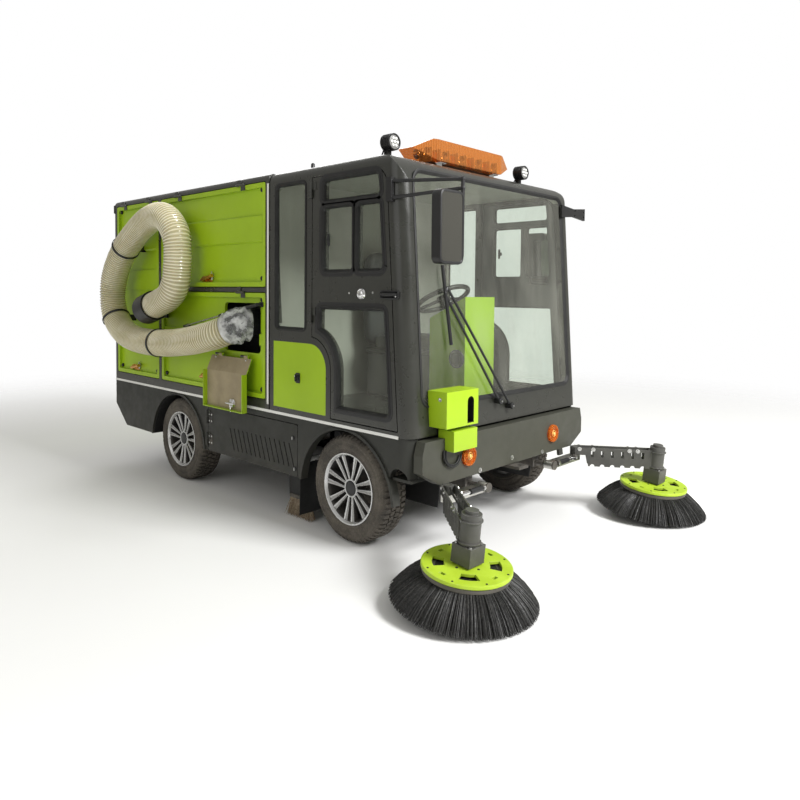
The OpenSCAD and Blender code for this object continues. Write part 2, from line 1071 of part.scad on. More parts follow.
module skirt_side() {
  side_plate(0, skirt_thick)
    difference() {
      polygon([
        [rear_x, belt_height],
        [rear_x, skirt_height + skirt_rear_rise],
        [rear_x + skirt_rear_cut, skirt_height],
        [front_axle_x, skirt_height],
        [front_axle_x, nose_low],
        [bumper_x - nose_back, nose_low],
        [bumper_x - nose_back, belt_height]
      ]);
      for (x = [front_axle_x, rear_axle_x])
        translate([x, arch_z])
          circle(arch_radius);
      translate([vent_x0, 0])
        square([vent_x1 - vent_x0, vent_high]);
      translate([bumper_x - toe_back, nose_low])
        circle(toe_r);
    }
  side_plate(-lip_out, skirt_thick + lip_out)
    for (x = [front_axle_x, rear_axle_x])
      translate([x, arch_z])
        difference() {
          circle(arch_radius + lip_wide);
          circle(arch_radius);
          translate([-body_width, -roof_height + skirt_height - arch_z])
            square([2 * body_width, roof_height]);
          translate([-body_width, belt_height - stripe_high - arch_z])
            square([2 * body_width, roof_height]);
        }
  translate([bumper_x - nose_back, side_y - nose_r, nose_low])
    intersection() {
      difference() {
        cylinder(h = belt_height - nose_low, r = nose_r);
        translate([0, 0, -over])
          cylinder(h = belt_height, r = nose_r - skirt_thick);
        translate([nose_back - toe_back, 0, 0])
          rotate([-90, 0, 0])
            cylinder(h = side_y, r = toe_r);
      }
      translate([-sink, 0, 0])
        cube([nose_r + sink, nose_r, belt_height]);
    }
  toe_step();
  for (z = [vent_hinge_low, vent_hinge_high])
    translate([vent_x0 + hatch_gap / 2, side_y + hinge_r, z])
      hinge_fixed();
}

module skirts() {
  color(grey)
    union() {
      both()
        skirt_side();
      block([rear_x, -side_y + sink, skirt_height + skirt_rear_rise],
        [rear_x + skirt_thick, side_y - sink, belt_height]);
    }
}

module vent_door() {
  span = vent_x1 - vent_x0;
  high = louvre_high - louvre_low;
  difference() {
    side_plate(0, skirt_thick)
      soft_box(vent_x0 + hatch_gap, vent_x1 - hatch_gap, skirt_height, vent_high - hatch_gap, hatch_corner);
    for (i = [0 : louvre_count - 1]) {
      share = louvre_from_share + (louvre_to_share - louvre_from_share) * i / (louvre_count - 1);
      side_plate(-over, louvre_deep + over)
        translate([vent_x0 + span * share, (louvre_low + louvre_high) / 2])
          rotate(louvre_lean)
            square([louvre_wide, high], center = true);
    }
  }
  for (z = [vent_hinge_low, vent_hinge_high])
    translate([vent_x0 + hatch_gap / 2, side_y + hinge_r, z])
      hinge_moving();
}

module vent_door_right() {
  color(grey)
    on_right()
      vent_door();
}

module vent_door_left() {
  color(grey)
    vent_door();
}

module stripes() {
  color(white)
    both() {
      block([rear_x, side_y, belt_height - stripe_high / 2],
        [bumper_x - nose_back, side_y + stripe_thick, belt_height + stripe_high / 2]);
      block([body_front_x - stripe_high, side_y, belt_height + stripe_back],
        [body_front_x, side_y + stripe_thick, roof_height - roof_edge]);
    }
}

module bumper() {
  color(grey)
    difference() {
      along(bumper_back, bumper_x)
        polygon([
          [-bumper_foot, bumper_low],
          [bumper_foot, bumper_low],
          [bumper_wide, bumper_knee],
          [bumper_wide, bumper_bend],
          [bumper_top, bumper_high],
          [-bumper_top, bumper_high],
          [-bumper_wide, bumper_bend],
          [-bumper_wide, bumper_knee]
        ]);
      for (s = [-1, 1])
        translate([bumper_x - lamp_out, s * lamp_y, lamp_z])
          rotate([0, 90, 0])
            cylinder(h = bumper_thick, r = lamp_r + seat_gap);
    }
}

module bar_lens() {
  low = roof_height + bar_foot_high + bar_base_high;
  intersection() {
    along(bar_x - bar_deep, bar_x + bar_deep)
      polygon([
        [-bar_half, low + bar_high / 2],
        [-bar_end, low],
        [bar_end, low],
        [bar_half, low + bar_high / 2],
        [bar_top, low + bar_high],
        [-bar_top, low + bar_high]
      ]);
    translate([bar_x, 0, low])
      linear_extrude(bar_high)
        polygon([
          [-bar_tip, -bar_half],
          [bar_tip, -bar_half],
          [bar_deep, -bar_end],
          [bar_deep, bar_end],
          [bar_tip, bar_half],
          [-bar_tip, bar_half],
          [-bar_deep, bar_end],
          [-bar_deep, -bar_end]
        ]);
  }
}

module amber_lenses() {
  color(amber)
    union() {
      bar_lens();
      for (s = [-1, 1])
        translate([bumper_x - lamp_out, s * lamp_y, lamp_z])
          rotate([0, 90, 0])
            cylinder(h = 2 * lamp_out, r = lamp_r);
    }
}

// Waisted plate with four bolt holes on the left front corner
module corner_bracket() {
  low = roof_height - bracket_drop;
  high = low + bracket_tall;
  y0 = side_y - bracket_in;
  y1 = side_y + bracket_out;
  mid = (y0 + y1) / 2;
  along(front_x(low) + seat_gap, front_x(low) + seat_gap + bracket_thick)
    difference() {
      polygon([
        [y0, low],
        [mid, low + bracket_waist],
        [y1, low],
        [y1, high],
        [mid, high - bracket_waist],
        [y0, high]
      ]);
      for (y = [y1 - bracket_hole_in, mid + bracket_hole_in])
        for (z = [low + bracket_hole_in + bracket_waist / 2, high - bracket_hole_in - bracket_waist / 2])
          translate([y, z])
            circle(bracket_hole);
    }
}

module roof_fittings() {
  color(black)
    union() {
      corner_bracket();
      for (s = [-1, 1])
        block([bar_x - bar_foot, s * bar_foot_y - bar_foot, roof_height],
          [bar_x + bar_foot, s * bar_foot_y + bar_foot, roof_height + bar_foot_high]);
      block([bar_x - bar_tip, -bar_end, roof_height + bar_foot_high - sink],
        [bar_x + bar_tip, bar_end, roof_height + bar_foot_high + bar_base_high]);
      for (w = work_lamps) {
        z = roof_height + work_rise;
        translate([w[work_x] - work_back, w[work_y], z])
          rotate([0, 90, 0])
            cylinder(h = work_back, r = work_r);
        block([w[work_x] - work_back, w[work_y] - work_post, roof_height],
          [w[work_x] - work_back + 2 * work_post, w[work_y] + work_post, z]);
      }
    }
}

module chassis() {
  color(black)
    difference() {
      union() {
        both() {
          block([rear_x + skirt_thick, rail_y - rail_wide / 2, rail_low],
            [bumper_back, rail_out, rail_high]);
          block([tray_x0, rail_out - sink, tray_low],
            [tray_x1, tray_out, tray_low + tray_thick]);
          block([tray_x0, rail_out - sink, tray_low],
            [tray_x1, rail_out + tray_thick, rail_high]);
          block([bumper_back - lift_block, lift_y - rail_wide / 2, lift_z - lift_barrel_r],
            [bumper_back, lift_y + rail_wide / 2, rail_low + sink]);
          translate([bumper_back - sink, lift_y, lift_z])
            rotate([0, 90, 0])
              cylinder(h = bumper_thick + sink + lift_to + lift_cap, r = lift_pin_r);
          translate([bumper_x + lift_to + seat_gap, lift_y, lift_z])
            rotate([0, 90, 0])
              cylinder(h = lift_cap, r = lift_barrel_r);
        }
        for (c = cross_x)
          block([c[cross_at] - cross_wide / 2, -c[cross_reach], rail_high - sink],
            [c[cross_at] + cross_wide / 2, c[cross_reach], belt_height]);
        block([tow_x, -rail_y, rail_low], [tow_x + cross_wide, rail_y, rail_high]);
        block([tow_x, -tow_half, tow_low], [tow_x + cross_wide, tow_half, rail_high]);
        block([tow_x, -tow_half, tow_low], [bumper_x + tow_ahead, tow_half, tow_low + tow_thick]);
        block([tow_rear_x - cross_wide, -rail_y, rail_low], [tow_rear_x + cross_wide, rail_y, rail_high]);
        block([tow_rear_x - cross_wide, -tow_half, tow_rear_low],
          [tow_rear_x + cross_wide, tow_half, tow_rear_low + tow_thick]);
        block([tow_rear_x + cross_wide - tow_drop_wide / 2, -tow_half, tow_rear_low],
          [tow_rear_x + cross_wide, tow_half, rail_high]);
      }
      translate([bumper_x + tow_bore_ahead, 0, tow_low - over])
        cylinder(h = tow_thick + 2 * over, r = tow_bore_r);
      translate([tow_rear_x, 0, tow_rear_low - over])
        cylinder(h = tow_thick + 2 * over, r = tow_bore_r);
    }
}

module battery() {
  color(black)
    both()
      block([tray_x0, rail_out + tray_thick + battery_gap, tray_low + tray_thick],
        [tray_x1, tray_out, battery_high]);
}

// Leaf spring with its two hangers under a rail
module spring(x) {
  block([x - spring_half, rail_y - spring_wide / 2, spring_low],
    [x + spring_half, rail_y + spring_wide / 2, spring_low + spring_thick]);
  for (end = [-spring_half, spring_half - spring_end])
    block([x + end, rail_y - spring_wide / 2, spring_low],
      [x + end + spring_end, rail_y + spring_wide / 2, rail_low]);
}

module axles() {
  x0 = front_axle_x - beam_half;
  x1 = front_axle_x + beam_half;
  color(black)
    both() {
      spring(front_axle_x);
      spring(rear_axle_x);
      block([x0, 0, tyre_r - beam_half], [x1, king_y - king_barrel - over, tyre_r + axle_r]);
      for (z = [tyre_r - king_half - yoke_thick, tyre_r + king_half])
        block([x0, yoke_in, z], [x1, king_y + king_barrel, z + yoke_thick]);
      block([x0, yoke_in, tyre_r - king_half - yoke_thick],
        [x1, king_y - king_barrel - over, tyre_r + king_half + yoke_thick]);
      translate([front_axle_x, king_y, tyre_r - king_half - sink])
        cylinder(h = 2 * king_half + 2 * sink, r = king_r);
      translate([rear_axle_x, 0, tyre_r])
        rotate([-90, 0, 0]) {
          cylinder(h = axle_ball_half, r = axle_ball);
          cylinder(h = wheel_y - drum_in + sink, r = axle_r);
          translate([0, 0, wheel_y - drum_in])
            cylinder(h = drum_in - drum_out, r = drum_r);
          translate([0, 0, wheel_y - drum_out - sink])
            cylinder(h = drum_out + stub_out + sink, r = stub_r);
        }
    }
}

module knuckle() {
  difference() {
    union() {
      translate([front_axle_x, king_y, tyre_r - king_half + seat_gap])
        cylinder(h = 2 * king_half - 2 * seat_gap, r = king_barrel);
      translate([front_axle_x, king_y, tyre_r])
        rotate([-90, 0, 0])
          cylinder(h = wheel_y - king_y - drum_out, r = stub_r);
      translate([front_axle_x, wheel_y, tyre_r])
        rotate([-90, 0, 0]) {
          translate([0, 0, -drum_in])
            cylinder(h = drum_in - drum_out, r = drum_r);
          translate([0, 0, -drum_out - sink])
            cylinder(h = drum_out + stub_out + sink, r = stub_r);
        }
    }
    translate([front_axle_x, king_y, tyre_r - king_half - over])
      cylinder(h = 2 * king_half + 2 * over, r = king_r + run_gap);
  }
}

module knuckle_right() {
  color(black)
    on_right()
      knuckle();
}

module knuckle_left() {
  color(black)
    knuckle();
}

// Tyre about an upright axis, its outer face up
module tyre_ring() {
  half = tyre_width / 2;
  rotate_extrude()
    difference() {
      polygon([
        [bead_r + seat_gap, -flange_at + seat_gap],
        [rim_r + sink, -flange_at + seat_gap],
        [tyre_r - shoulder_r - shoulder_in, -half],
        [tyre_r - shoulder_r, -half + bulge_in],
        [tyre_r, -half + shoulder_in],
        [tyre_r, half - shoulder_in],
        [tyre_r - shoulder_r, half - bulge_in],
        [tyre_r - shoulder_r - shoulder_in, half],
        [rim_r + sink, flange_at - seat_gap],
        [bead_r + seat_gap, flange_at - seat_gap]
      ]);
      for (s = [-1, 0, 1])
        translate([tyre_r - tread_deep, s * half / 2 - tread_groove / 2])
          square([tread_deep + over, tread_groove]);
    }
}

// Window between two spokes that lean apart by half an angle each
module rim_window(half) {
  tip = spoke_wide / 2 / sin(half);
  spread = (rim_r - tip) * tan(half);
  difference() {
    intersection() {
      polygon([[tip, 0], [rim_r, spread], [rim_r, -spread]]);
      circle(bead_r - barrel_thick - ring_wide);
    }
    circle(hub_r + ring_wide);
  }
}

// Rim about an upright axis, its outer face up
module rim_ring() {
  difference() {
    union() {
      rotate_extrude()
        polygon([
          [bead_r - barrel_thick, -flange_at - flange_wide],
          [rim_r, -flange_at - flange_wide],
          [rim_r, -flange_at],
          [bead_r, -flange_at],
          [bead_r, flange_at],
          [rim_r, flange_at],
          [rim_r, flange_at + flange_wide],
          [bead_r - barrel_thick, flange_at + flange_wide]
        ]);
      translate([0, 0, spoke_low])
        linear_extrude(spoke_high - spoke_low)
          difference() {
            circle(bead_r - sink);
            for (i = [0 : spoke_count - 1])
              rotate(360 * i / spoke_count) {
                rim_window(spoke_spread);
                rotate(180 / spoke_count)
                  rim_window(180 / spoke_count - spoke_spread);
              }
          }
      translate([0, 0, -hub_in])
        cylinder(h = hub_in + hub_out, r = hub_r);
    }
    translate([0, 0, -hub_in - over])
      cylinder(h = hub_in + over + stub_out + seat_gap, r = stub_r + run_gap);
  }
}

module on_wheel(x) {
  translate([x, wheel_y, tyre_r])
    rotate([-90, 0, 0])
      children();
}

module tyre_front_right() {
  color(black)
    on_right()
      on_wheel(front_axle_x)
        tyre_ring();
}

module tyre_front_left() {
  color(black)
    on_wheel(front_axle_x)
      tyre_ring();
}

module tyre_rear_right() {
  color(black)
    on_right()
      on_wheel(rear_axle_x)
        tyre_ring();
}

module tyre_rear_left() {
  color(black)
    on_wheel(rear_axle_x)
      tyre_ring();
}

module rim_front_right() {
  color(silver)
    on_right()
      on_wheel(front_axle_x)
        rim_ring();
}

module rim_front_left() {
  color(silver)
    on_wheel(front_axle_x)
      rim_ring();
}

module rim_rear_right() {
  color(silver)
    on_right()
      on_wheel(rear_axle_x)
        rim_ring();
}

module rim_rear_left() {
  color(silver)
    on_wheel(rear_axle_x)
      rim_ring();
}

// Inner arm that lifts about a pin along the vehicle and carries the swing pin
module lift_arm() {
  top = lift_z + beam_high / 2;
  difference() {
    union() {
      translate([bumper_x + lift_from, lift_y, lift_z])
        rotate([0, 90, 0])
          cylinder(h = lift_to - lift_from, r = lift_barrel_r);
      block([arm_pin_x - beam_wide / 2, lift_y, lift_z - beam_high / 2],
        [arm_pin_x + beam_wide / 2, arm_pin_side + beam_over, top]);
      translate([arm_pin_x, arm_pin_side, top - sink])
        cylinder(h = swing_high + swing_low + sink, r = swing_pin_r);
    }
    translate([bumper_x, lift_y, lift_z])
      rotate([0, 90, 0])
        cylinder(h = lift_to + lift_cap, r = lift_pin_r + run_gap);
  }
}

module lift_arm_right() {
  color(black)
    on_right()
      lift_arm();
}

module lift_arm_left() {
  color(black)
    lift_arm();
}

// Frame of the brush on its tilted axis, at the middle of the disc's top
module on_brush(swing) {
  x = arm_pin_x + arm_length * cos(swing);
  translate([x, arm_pin_side + arm_length * sin(swing), brush_z])
    rotate([0, brush_tilt, 0])
      children();
}

module cheek() {
  low = lift_z + beam_high / 2 + swing_low;
  high = low + swing_high;
  pitch = (arm_length - cheek_from - gear_half) / cheek_slots;
  rotate([90, 0, 0])
    linear_extrude(cheek_thick, center = true)
      difference() {
        polygon([
          [0, low],
          [cheek_from, low],
          [cheek_from + cheek_tooth, low - cheek_drop],
          [arm_length, low - cheek_drop],
          [arm_length, high],
          [0, high]
        ]);
        for (i = [0 : cheek_slots - 1]) {
          translate([cheek_from + pitch * (i + 1 / 2), low - cheek_slot_low])
            square([cheek_slot_wide, cheek_slot_high]);
          translate([cheek_from + pitch * (i + 1 / 2) + cheek_slot_wide / 2, low - cheek_drop])
            circle(cheek_tooth);
        }
      }
}

module swing_arm(swing) {
  low = lift_z + beam_high / 2 + swing_low;
  difference() {
    union() {
      translate([arm_pin_x, arm_pin_side, 0])
        rotate([0, 0, swing]) {
          for (s = [-1, 1])
            translate([0, s * cheek_half, 0])
              cheek();
          translate([0, 0, low])
            cylinder(h = swing_high, r = swing_barrel_r);
          block([0, -cheek_half, low], [cheek_thick, cheek_half, low + swing_high]);
        }
      on_brush(swing) {
        translate([-gear_half, -gear_half, gear_low])
          cube([2 * gear_half, 2 * gear_half, gear_high - gear_low]);
        cylinder(h = motor_high, r = motor_r);
        cylinder(h = motor_cap_high, r = motor_cap_r);
      }
    }
    translate([arm_pin_x, arm_pin_side, 0])
      cylinder(h = low + swing_high + over, r = swing_pin_r + run_gap);
    on_brush(swing)
      translate([0, 0, gear_low - brush_drop])
        cylinder(h = brush_drop, r = brush_r);
  }
  on_brush(swing)
    translate([0, 0, -disc_thick])
      cylinder(h = disc_thick + gear_low + sink, r = shaft_r);
}

module swing_arm_right() {
  color(black)
    on_right()
      swing_arm(swing_right);
}

module swing_arm_left() {
  color(black)
    swing_arm(swing_left);
}

module brush_disc(swing) {
  on_brush(swing)
    difference() {
      union() {
        translate([0, 0, -disc_thick])
          cylinder(h = disc_thick, r = disc_r);
        translate([0, 0, -disc_rim])
          difference() {
            cylinder(h = disc_rim, r = disc_r);
            translate([0, 0, -over])
              cylinder(h = disc_rim + over, r = disc_r - disc_rim_wide);
          }
      }
      translate([0, 0, -brush_drop])
        cylinder(h = 2 * brush_drop, r = shaft_r + run_gap);
      for (i = [0 : disc_slots - 1])
        rotate(360 * i / disc_slots)
          translate([disc_slot_in, -disc_slot_wide / 2, -disc_thick - over])
            cube([disc_slot_out - disc_slot_in, disc_slot_wide, disc_thick + 2 * over]);
    }
}

module brush_disc_right() {
  color(green)
    on_right()
      brush_disc(swing_right);
}

module brush_disc_left() {
  color(green)
    brush_disc(swing_left);
}

module bristles(swing) {
  top = disc_r - disc_rim_wide - seat_gap;
  on_brush(swing)
    rotate_extrude()
      polygon([
        [top - bristle_in_top, -disc_thick - seat_gap],
        [top, -disc_thick - seat_gap],
        [top, -disc_rim - seat_gap],
        [brush_r, -brush_drop],
        [brush_r - bristle_in_low, -brush_drop],
        [top - bristle_in_top, -disc_rim]
      ]);
}

module bristles_right() {
  color(black)
    on_right()
      bristles(swing_right);
}

module bristles_left() {
  color(black)
    bristles(swing_left);
}

module roller() {
  color(black)
    translate([roller_x, 0, roller_z])
      rotate([90, 0, 0]) {
        cylinder(h = roller_length, r = roller_r, center = true);
        cylinder(h = 2 * roller_shaft_half, r = roller_shaft, center = true);
      }
}

module roller_housing() {
  hood = roller_r + hood_gap;
  end_y = roller_length / 2 + hood_end_gap;
  color(black)
    difference() {
      union() {
        translate([roller_x, 0, roller_z])
          rotate([90, 0, 0])
            difference() {
              cylinder(h = 2 * end_y + sink, r = hood + hood_thick, center = true);
              cylinder(h = body_width, r = hood, center = true);
              translate([-body_width, -2 * hood, -body_width])
                cube([2 * body_width, 2 * hood, 2 * body_width]);
            }
        both() {
          block([roller_x - hood - hood_thick, end_y, hood_low],
            [roller_x + hood + hood_thick, end_y + hood_end_thick, roller_z + hood]);
          block([roller_x - hood_post, rail_y - hood_post, roller_z + hood + hood_thick / 2],
            [roller_x + hood_post, rail_y + hood_post, rail_low]);
        }
        for (s = [-1, 1])
          translate([roller_x + s * (hood + hood_thick / 2), 0, (flap_low + roller_z + sink) / 2])
            cube([flap_thick, 2 * end_y + sink, roller_z + sink - flap_low], center = true);
      }
      translate([roller_x, 0, roller_z])
        rotate([90, 0, 0])
          cylinder(h = body_width, r = roller_shaft + run_gap, center = true);
    }
}

// Points of the hose's middle line: distance behind the body's front wall, share of its offset, and height
hose_route = [
  [318, 0.54, 1128], [398, 0.83, 1094], [518, 0.985, 1066], [638, 1, 1043], [808, 1, 1020],
  [973, 1, 1004], [1128, 1, 996], [1267, 1, 994], [1478, 1, 1003], [1670, 1, 1047],
  [1818, 1, 1150], [1876, 1, 1286], [1858, 1, 1430], [1783, 1, 1556], [1648, 1, 1680],
  [1493, 1, 1770], [1368, 1, 1830], [1257, 1, 1868], [1137, 1, 1886], [1043, 1, 1874],
  [966, 1, 1832], [903, 1, 1770], [870, 1, 1706], [862, 1, 1600], [872, 1, 1504],
  [890, 1, 1420], [934, 1, 1358], [1008, 1, 1313], [1098, 1, 1285], [1188, 1, 1261],
  [1248, 1, 1245]
];
hose_along = 0;
hose_out_share = 1;
hose_up = 2;
hose_sides = 16;
hose_smooth = 3;
hose_points = [
  for (p = hose_route)
    [body_front_x - p[hose_along], -side_y - p[hose_out_share] * hose_offset, p[hose_up]]
];

// Smooth point between two route points
function hose_at(i, t) =
  let (last = len(hose_points) - 1)
  let (a = hose_points[max(i - 1, 0)], b = hose_points[i])
  let (c = hose_points[min(i + 1, last)], d = hose_points[min(i + 2, last)])
  (2 * b + (c - a) * t + (2 * a - 5 * b + 4 * c - d) * t * t + (3 * b - a - 3 * c + d) * t * t * t) / 2;

hose_line = [
  for (i = [0 : len(hose_points) - 2])
    for (k = [0 : hose_smooth - 1])
      hose_at(i, k / hose_smooth),
  hose_points[len(hose_points) - 1]
];

function hose_way(i) =
  ahead_of(hose_line[max(i - 1, 0)], hose_line[min(i + 1, len(hose_line) - 1)]);

// Ring of points about the hose's middle line
function hose_ring(i, r) =
  let (way = hose_way(i), flat = cross([0, 1, 0], way))
  let (up = flat / norm(flat), out = cross(way, up))
  let (turn = 360 / hose_sides)
  [for (k = [0 : hose_sides - 1]) hose_line[i] + r * (up * cos(turn * k) + out * sin(turn * k))];

module suction_hose() {
  rings = len(hose_line);
  n = hose_sides;
  color(beige)
    polyhedron(
      points = [for (i = [0 : rings - 1]) each hose_ring(i, hose_diameter / 2)],
      faces = concat(
        [[for (k = [0 : n - 1]) k]],
        [for (i = [0 : rings - 2]) for (k = [0 : n - 1])
          [i * n + k, (i + 1) * n + k, (i + 1) * n + (k + 1) % n, i * n + (k + 1) % n]],
        [[for (k = [n - 1 : -1 : 0]) (rings - 1) * n + k]]
      )
    );
}

module hose_ring_frame(i) {
  way = hose_way(i);
  translate(hose_line[i])
    rotate([0, acos(way[2]), atan2(way[1], way[0])])
      children();
}

module hose_fittings() {
  last = len(hose_line) - 1;
  hose_r = hose_diameter / 2;
  elbow = hose_line[0] - hose_way(0) * elbow_long;
  cup = hose_line[last] + hose_way(last) * cup_long / 2;
  inner = -side_y + body_wall;
  color(grey) {
    difference() {
      block([port_x0 - tray_rim, inner, port_low - tray_rim],
        [port_x1 + tray_rim, inner + tray_deep, port_high + tray_rim]);
      block([port_x0 - tray_rim + tray_wall, inner - over, port_low - tray_rim + tray_wall],
        [port_x1 + tray_rim - tray_wall, inner + tray_deep - tray_wall, port_high + tray_rim - tray_wall]);
    }
    translate(elbow)
      sphere(elbow_r);
    translate(elbow)
      rotate([-90, 0, 0])
        cylinder(h = inner + tray_deep - sink - elbow[1], r = elbow_r - strap_wall);
    hose_ring_frame(0)
      translate([0, 0, -elbow_long])
        cylinder(h = elbow_long - seat_gap, r = elbow_r - strap_wall);
    hose_ring_frame(last)
      difference() {
        translate([0, 0, -cup_over])
          cylinder(h = cup_over + cup_long, r = hose_r + cup_wall);
        translate([0, 0, -cup_over - over])
          cylinder(h = cup_over + over + seat_gap, r = hose_r + seat_gap);
      }
    block([cup[0] - cup_foot, -side_y - cup_foot_thick, cup[2] - cup_foot],
      [cup[0] + cup_foot / 2, -side_y, cup[2] + cup_foot]);
    block([cup[0] - cup_post / 2, cup[1], cup[2] - cup_post / 2],
      [cup[0] + cup_post / 2, -side_y - sink, cup[2] + cup_post / 2]);
    for (i = strap_at) {
      hose_ring_frame(i)
        difference() {
          cylinder(h = strap_wide, r = hose_r + strap_gap + strap_wall, center = true);
          cylinder(h = 2 * strap_wide, r = hose_r + strap_gap, center = true);
        }
      block([hose_line[i][0] - strap_foot / 2, hose_line[i][1] + hose_r + strap_gap + strap_wall / 2,
        hose_line[i][2] - strap_foot],
        [hose_line[i][0] + strap_foot / 2, -side_y + hatch_recess, hose_line[i][2] + strap_foot]);
    }
  }
}

// Lug places along the flap's hinge
function flap_spots() = [
  for (share = port_lug_shares)
    port_flap_x0 + (port_flap_x1 - port_flap_x0) * share
];

module flap_lugs() {
  for (x = flap_spots()) {
    block([x, side_y - hatch_recess - sink, port_flap_z - hinge_r],
      [x + port_lug, side_y + port_flap_out, port_flap_z]);
    translate([x, side_y + port_flap_out, port_flap_z])
      rotate([0, 90, 0])
        cylinder(h = port_lug, r = hinge_r);
  }
}

module port_flap() {
  t = port_flap_thick;
  s = port_flap_step;
  color(green)
    on_right()
      translate([0, side_y + port_flap_out, port_flap_z]) {
        along(port_flap_x0, port_flap_x1)
          polygon([
            [-t / 2, -port_flap_neck],
            [t / 2, -port_flap_neck],
            [s + t, -port_flap_bend],
            [s + t, -port_flap_long],
            [s, -port_flap_long],
            [s, -port_flap_bend - t / 2]
          ]);
        for (x = [port_flap_x0, port_flap_x1 - t])
          block([x, s, -port_flap_long], [x + t, s + port_flap_rim, -port_flap_bend]);
        block([port_flap_x0, s, -port_flap_long],
          [port_flap_x1, s + port_flap_rim, -port_flap_long + t]);
        for (x = flap_spots())
          translate([x + port_lug + seat_gap, 0, 0]) {
            rotate([0, 90, 0])
              cylinder(h = port_lug, r = hinge_r);
            block([0, -t / 2, -port_flap_neck - t], [port_lug, t / 2, 0]);
          }
      }
}

// Side outline between two places across the vehicle
module between(y0, y1) {
  translate([0, y1, 0])
    rotate([90, 0, 0])
      linear_extrude(y1 - y0)
        children();
}

module tool_holders() {
  slot = (holder_slot_y1 - holder_slot_y0) / 2;
  color(green) {
    difference() {
      between(holder_y0, holder_y1)
        polygon([
          [front_x(holder_low) + seat_gap, holder_low],
          [bumper_x + holder_out, holder_low],
          [bumper_x + holder_out, holder_high],
          [front_x(holder_high) + seat_gap, holder_high]
        ]);
      along(bumper_x + holder_out - holder_slot_deep, bumper_x + holder_out + over) {
        translate([holder_slot_y0, holder_slot_low])
          square([2 * slot, holder_slot_high - holder_slot_low]);
        translate([holder_slot_y0 + slot, holder_slot_high])
          circle(slot);
      }
    }
    block([bumper_x + seat_gap, hook_y0, hook_low], [bumper_x + holder_out, hook_y1, hook_high]);
    block([front_x(belt_height) + hinge_r, hook_y0, bumper_high + seat_gap],
      [bumper_x + sink, hook_y1, hook_high]);
  }
}

module mirror_head(wide) {
  linear_extrude(wide)
    soft_box(0, mirror_wide, 0, mirror_high, mirror_corner);
}

module mirror_right() {
  base_x = front_x(mirror_base_z + mirror_base_high / 2) - mirror_base_back;
  out = -side_y - seat_gap;
  rod_x = base_x + mirror_base_wide / 2;
  rod_y = out - mirror_base_thick / 2;
  tube_x = bumper_x + mirror_ahead;
  top = [tube_x, -mirror_tube_y, mirror_tube_top];
  low = [tube_x, -mirror_tube_y, mirror_tube_low];
  fork = [tube_x, -mirror_tube_y, mirror_fork];
  color(black) {
    block([base_x, out - mirror_base_thick, mirror_base_z],
      [base_x + mirror_base_wide, out, mirror_base_z + mirror_base_high]);
    rod([rod_x, rod_y, mirror_base_z + mirror_base_high - 2 * rod_r], top, rod_r);
    rod([rod_x, rod_y, mirror_base_z + 2 * rod_r], fork, rod_r);
    rod(low, top, rod_r);
    for (p = [top, fork])
      translate(p)
        sphere(mirror_ball);
    translate([tube_x - mirror_thick / 2, -mirror_y, mirror_z])
      rotate([90, 0, 90])
        mirror_head(mirror_thick);
    block([tube_x - rod_r, -mirror_y + mirror_wide - sink, mirror_tube_low],
      [tube_x + rod_r, -mirror_tube_y, mirror_tube_low + mirror_corner]);
    block([tube_x - rod_r, -mirror_y + mirror_wide - sink, mirror_z + mirror_high - 2 * mirror_corner],
      [tube_x + rod_r, -mirror_tube_y, mirror_z + mirror_high - mirror_corner]);
  }
}

module mirror_left() {
  y = side_y + mirror_left_out;
  color(black)
    union() {
      translate([mirror_left_x, y + mirror_thick, mirror_left_z])
        rotate([90, 0, 0])
          mirror_head(mirror_thick);
      for (z = mirror_stand_z) {
        rod([mirror_stand_x, side_y + seat_gap, z], [mirror_stand_x, y + mirror_thick, z], mirror_stand_r);
        rod([mirror_stand_x, y + mirror_thick / 2, z],
          [mirror_left_x + mirror_wide / 2, y + mirror_thick / 2, mirror_left_z + mirror_high / 2], rod_r);
      }
    }
}

// Point in front of the windscreen
function on_screen(shares, off) =
  let (z = belt_height + (roof_height - belt_height) * shares[wiper_z])
  [front_x(z) + off, side_y * shares[wiper_y], z];

module wiper() {
  color(black)
    union() {
      for (i = [0, 1]) {
        foot = wiper_foot_shares[i];
        near = seat_gap + wiper_boss * tan(rake);
        rod(on_screen(foot, near), on_screen(foot, wiper_off + wiper_r), wiper_boss);
        rod(on_screen(foot, wiper_off), on_screen(wiper_head_shares[i], wiper_off), wiper_r);
      }
      for (ends = [wiper_head_shares, wiper_blade_shares])
        rod(on_screen(ends[0], wiper_off), on_screen(ends[1], wiper_off), wiper_blade_r);
    }
}

module seat() {
  x0 = seat_x0;
  y0 = seat_y - seat_wide / 2;
  y1 = seat_y + seat_wide / 2;
  r = seat_corner;
  color(black)
    union() {
      block([x0, seat_y - seat_base_half, floor_z],
        [x0 + seat_base_front, seat_y + seat_base_half, seat_base_high + sink]);
      between(y0, y1) {
        soft_box(x0, x0 + seat_cushion_front, seat_base_high, seat_base_high + seat_cushion, r);
        soft_box(x0, x0 + seat_back_thick, seat_base_high, seat_back_high, r);
      }
    }
}

module console_outline(grow) {
  polygon([
    [console_x0 - grow, floor_z],
    [console_x1 + grow, floor_z],
    [console_x1 + grow, console_high + grow],
    [console_x0 - grow, console_low + grow]
  ]);
}

module console() {
  color(green)
    between(console_y0, console_y1)
      console_outline(0);
}

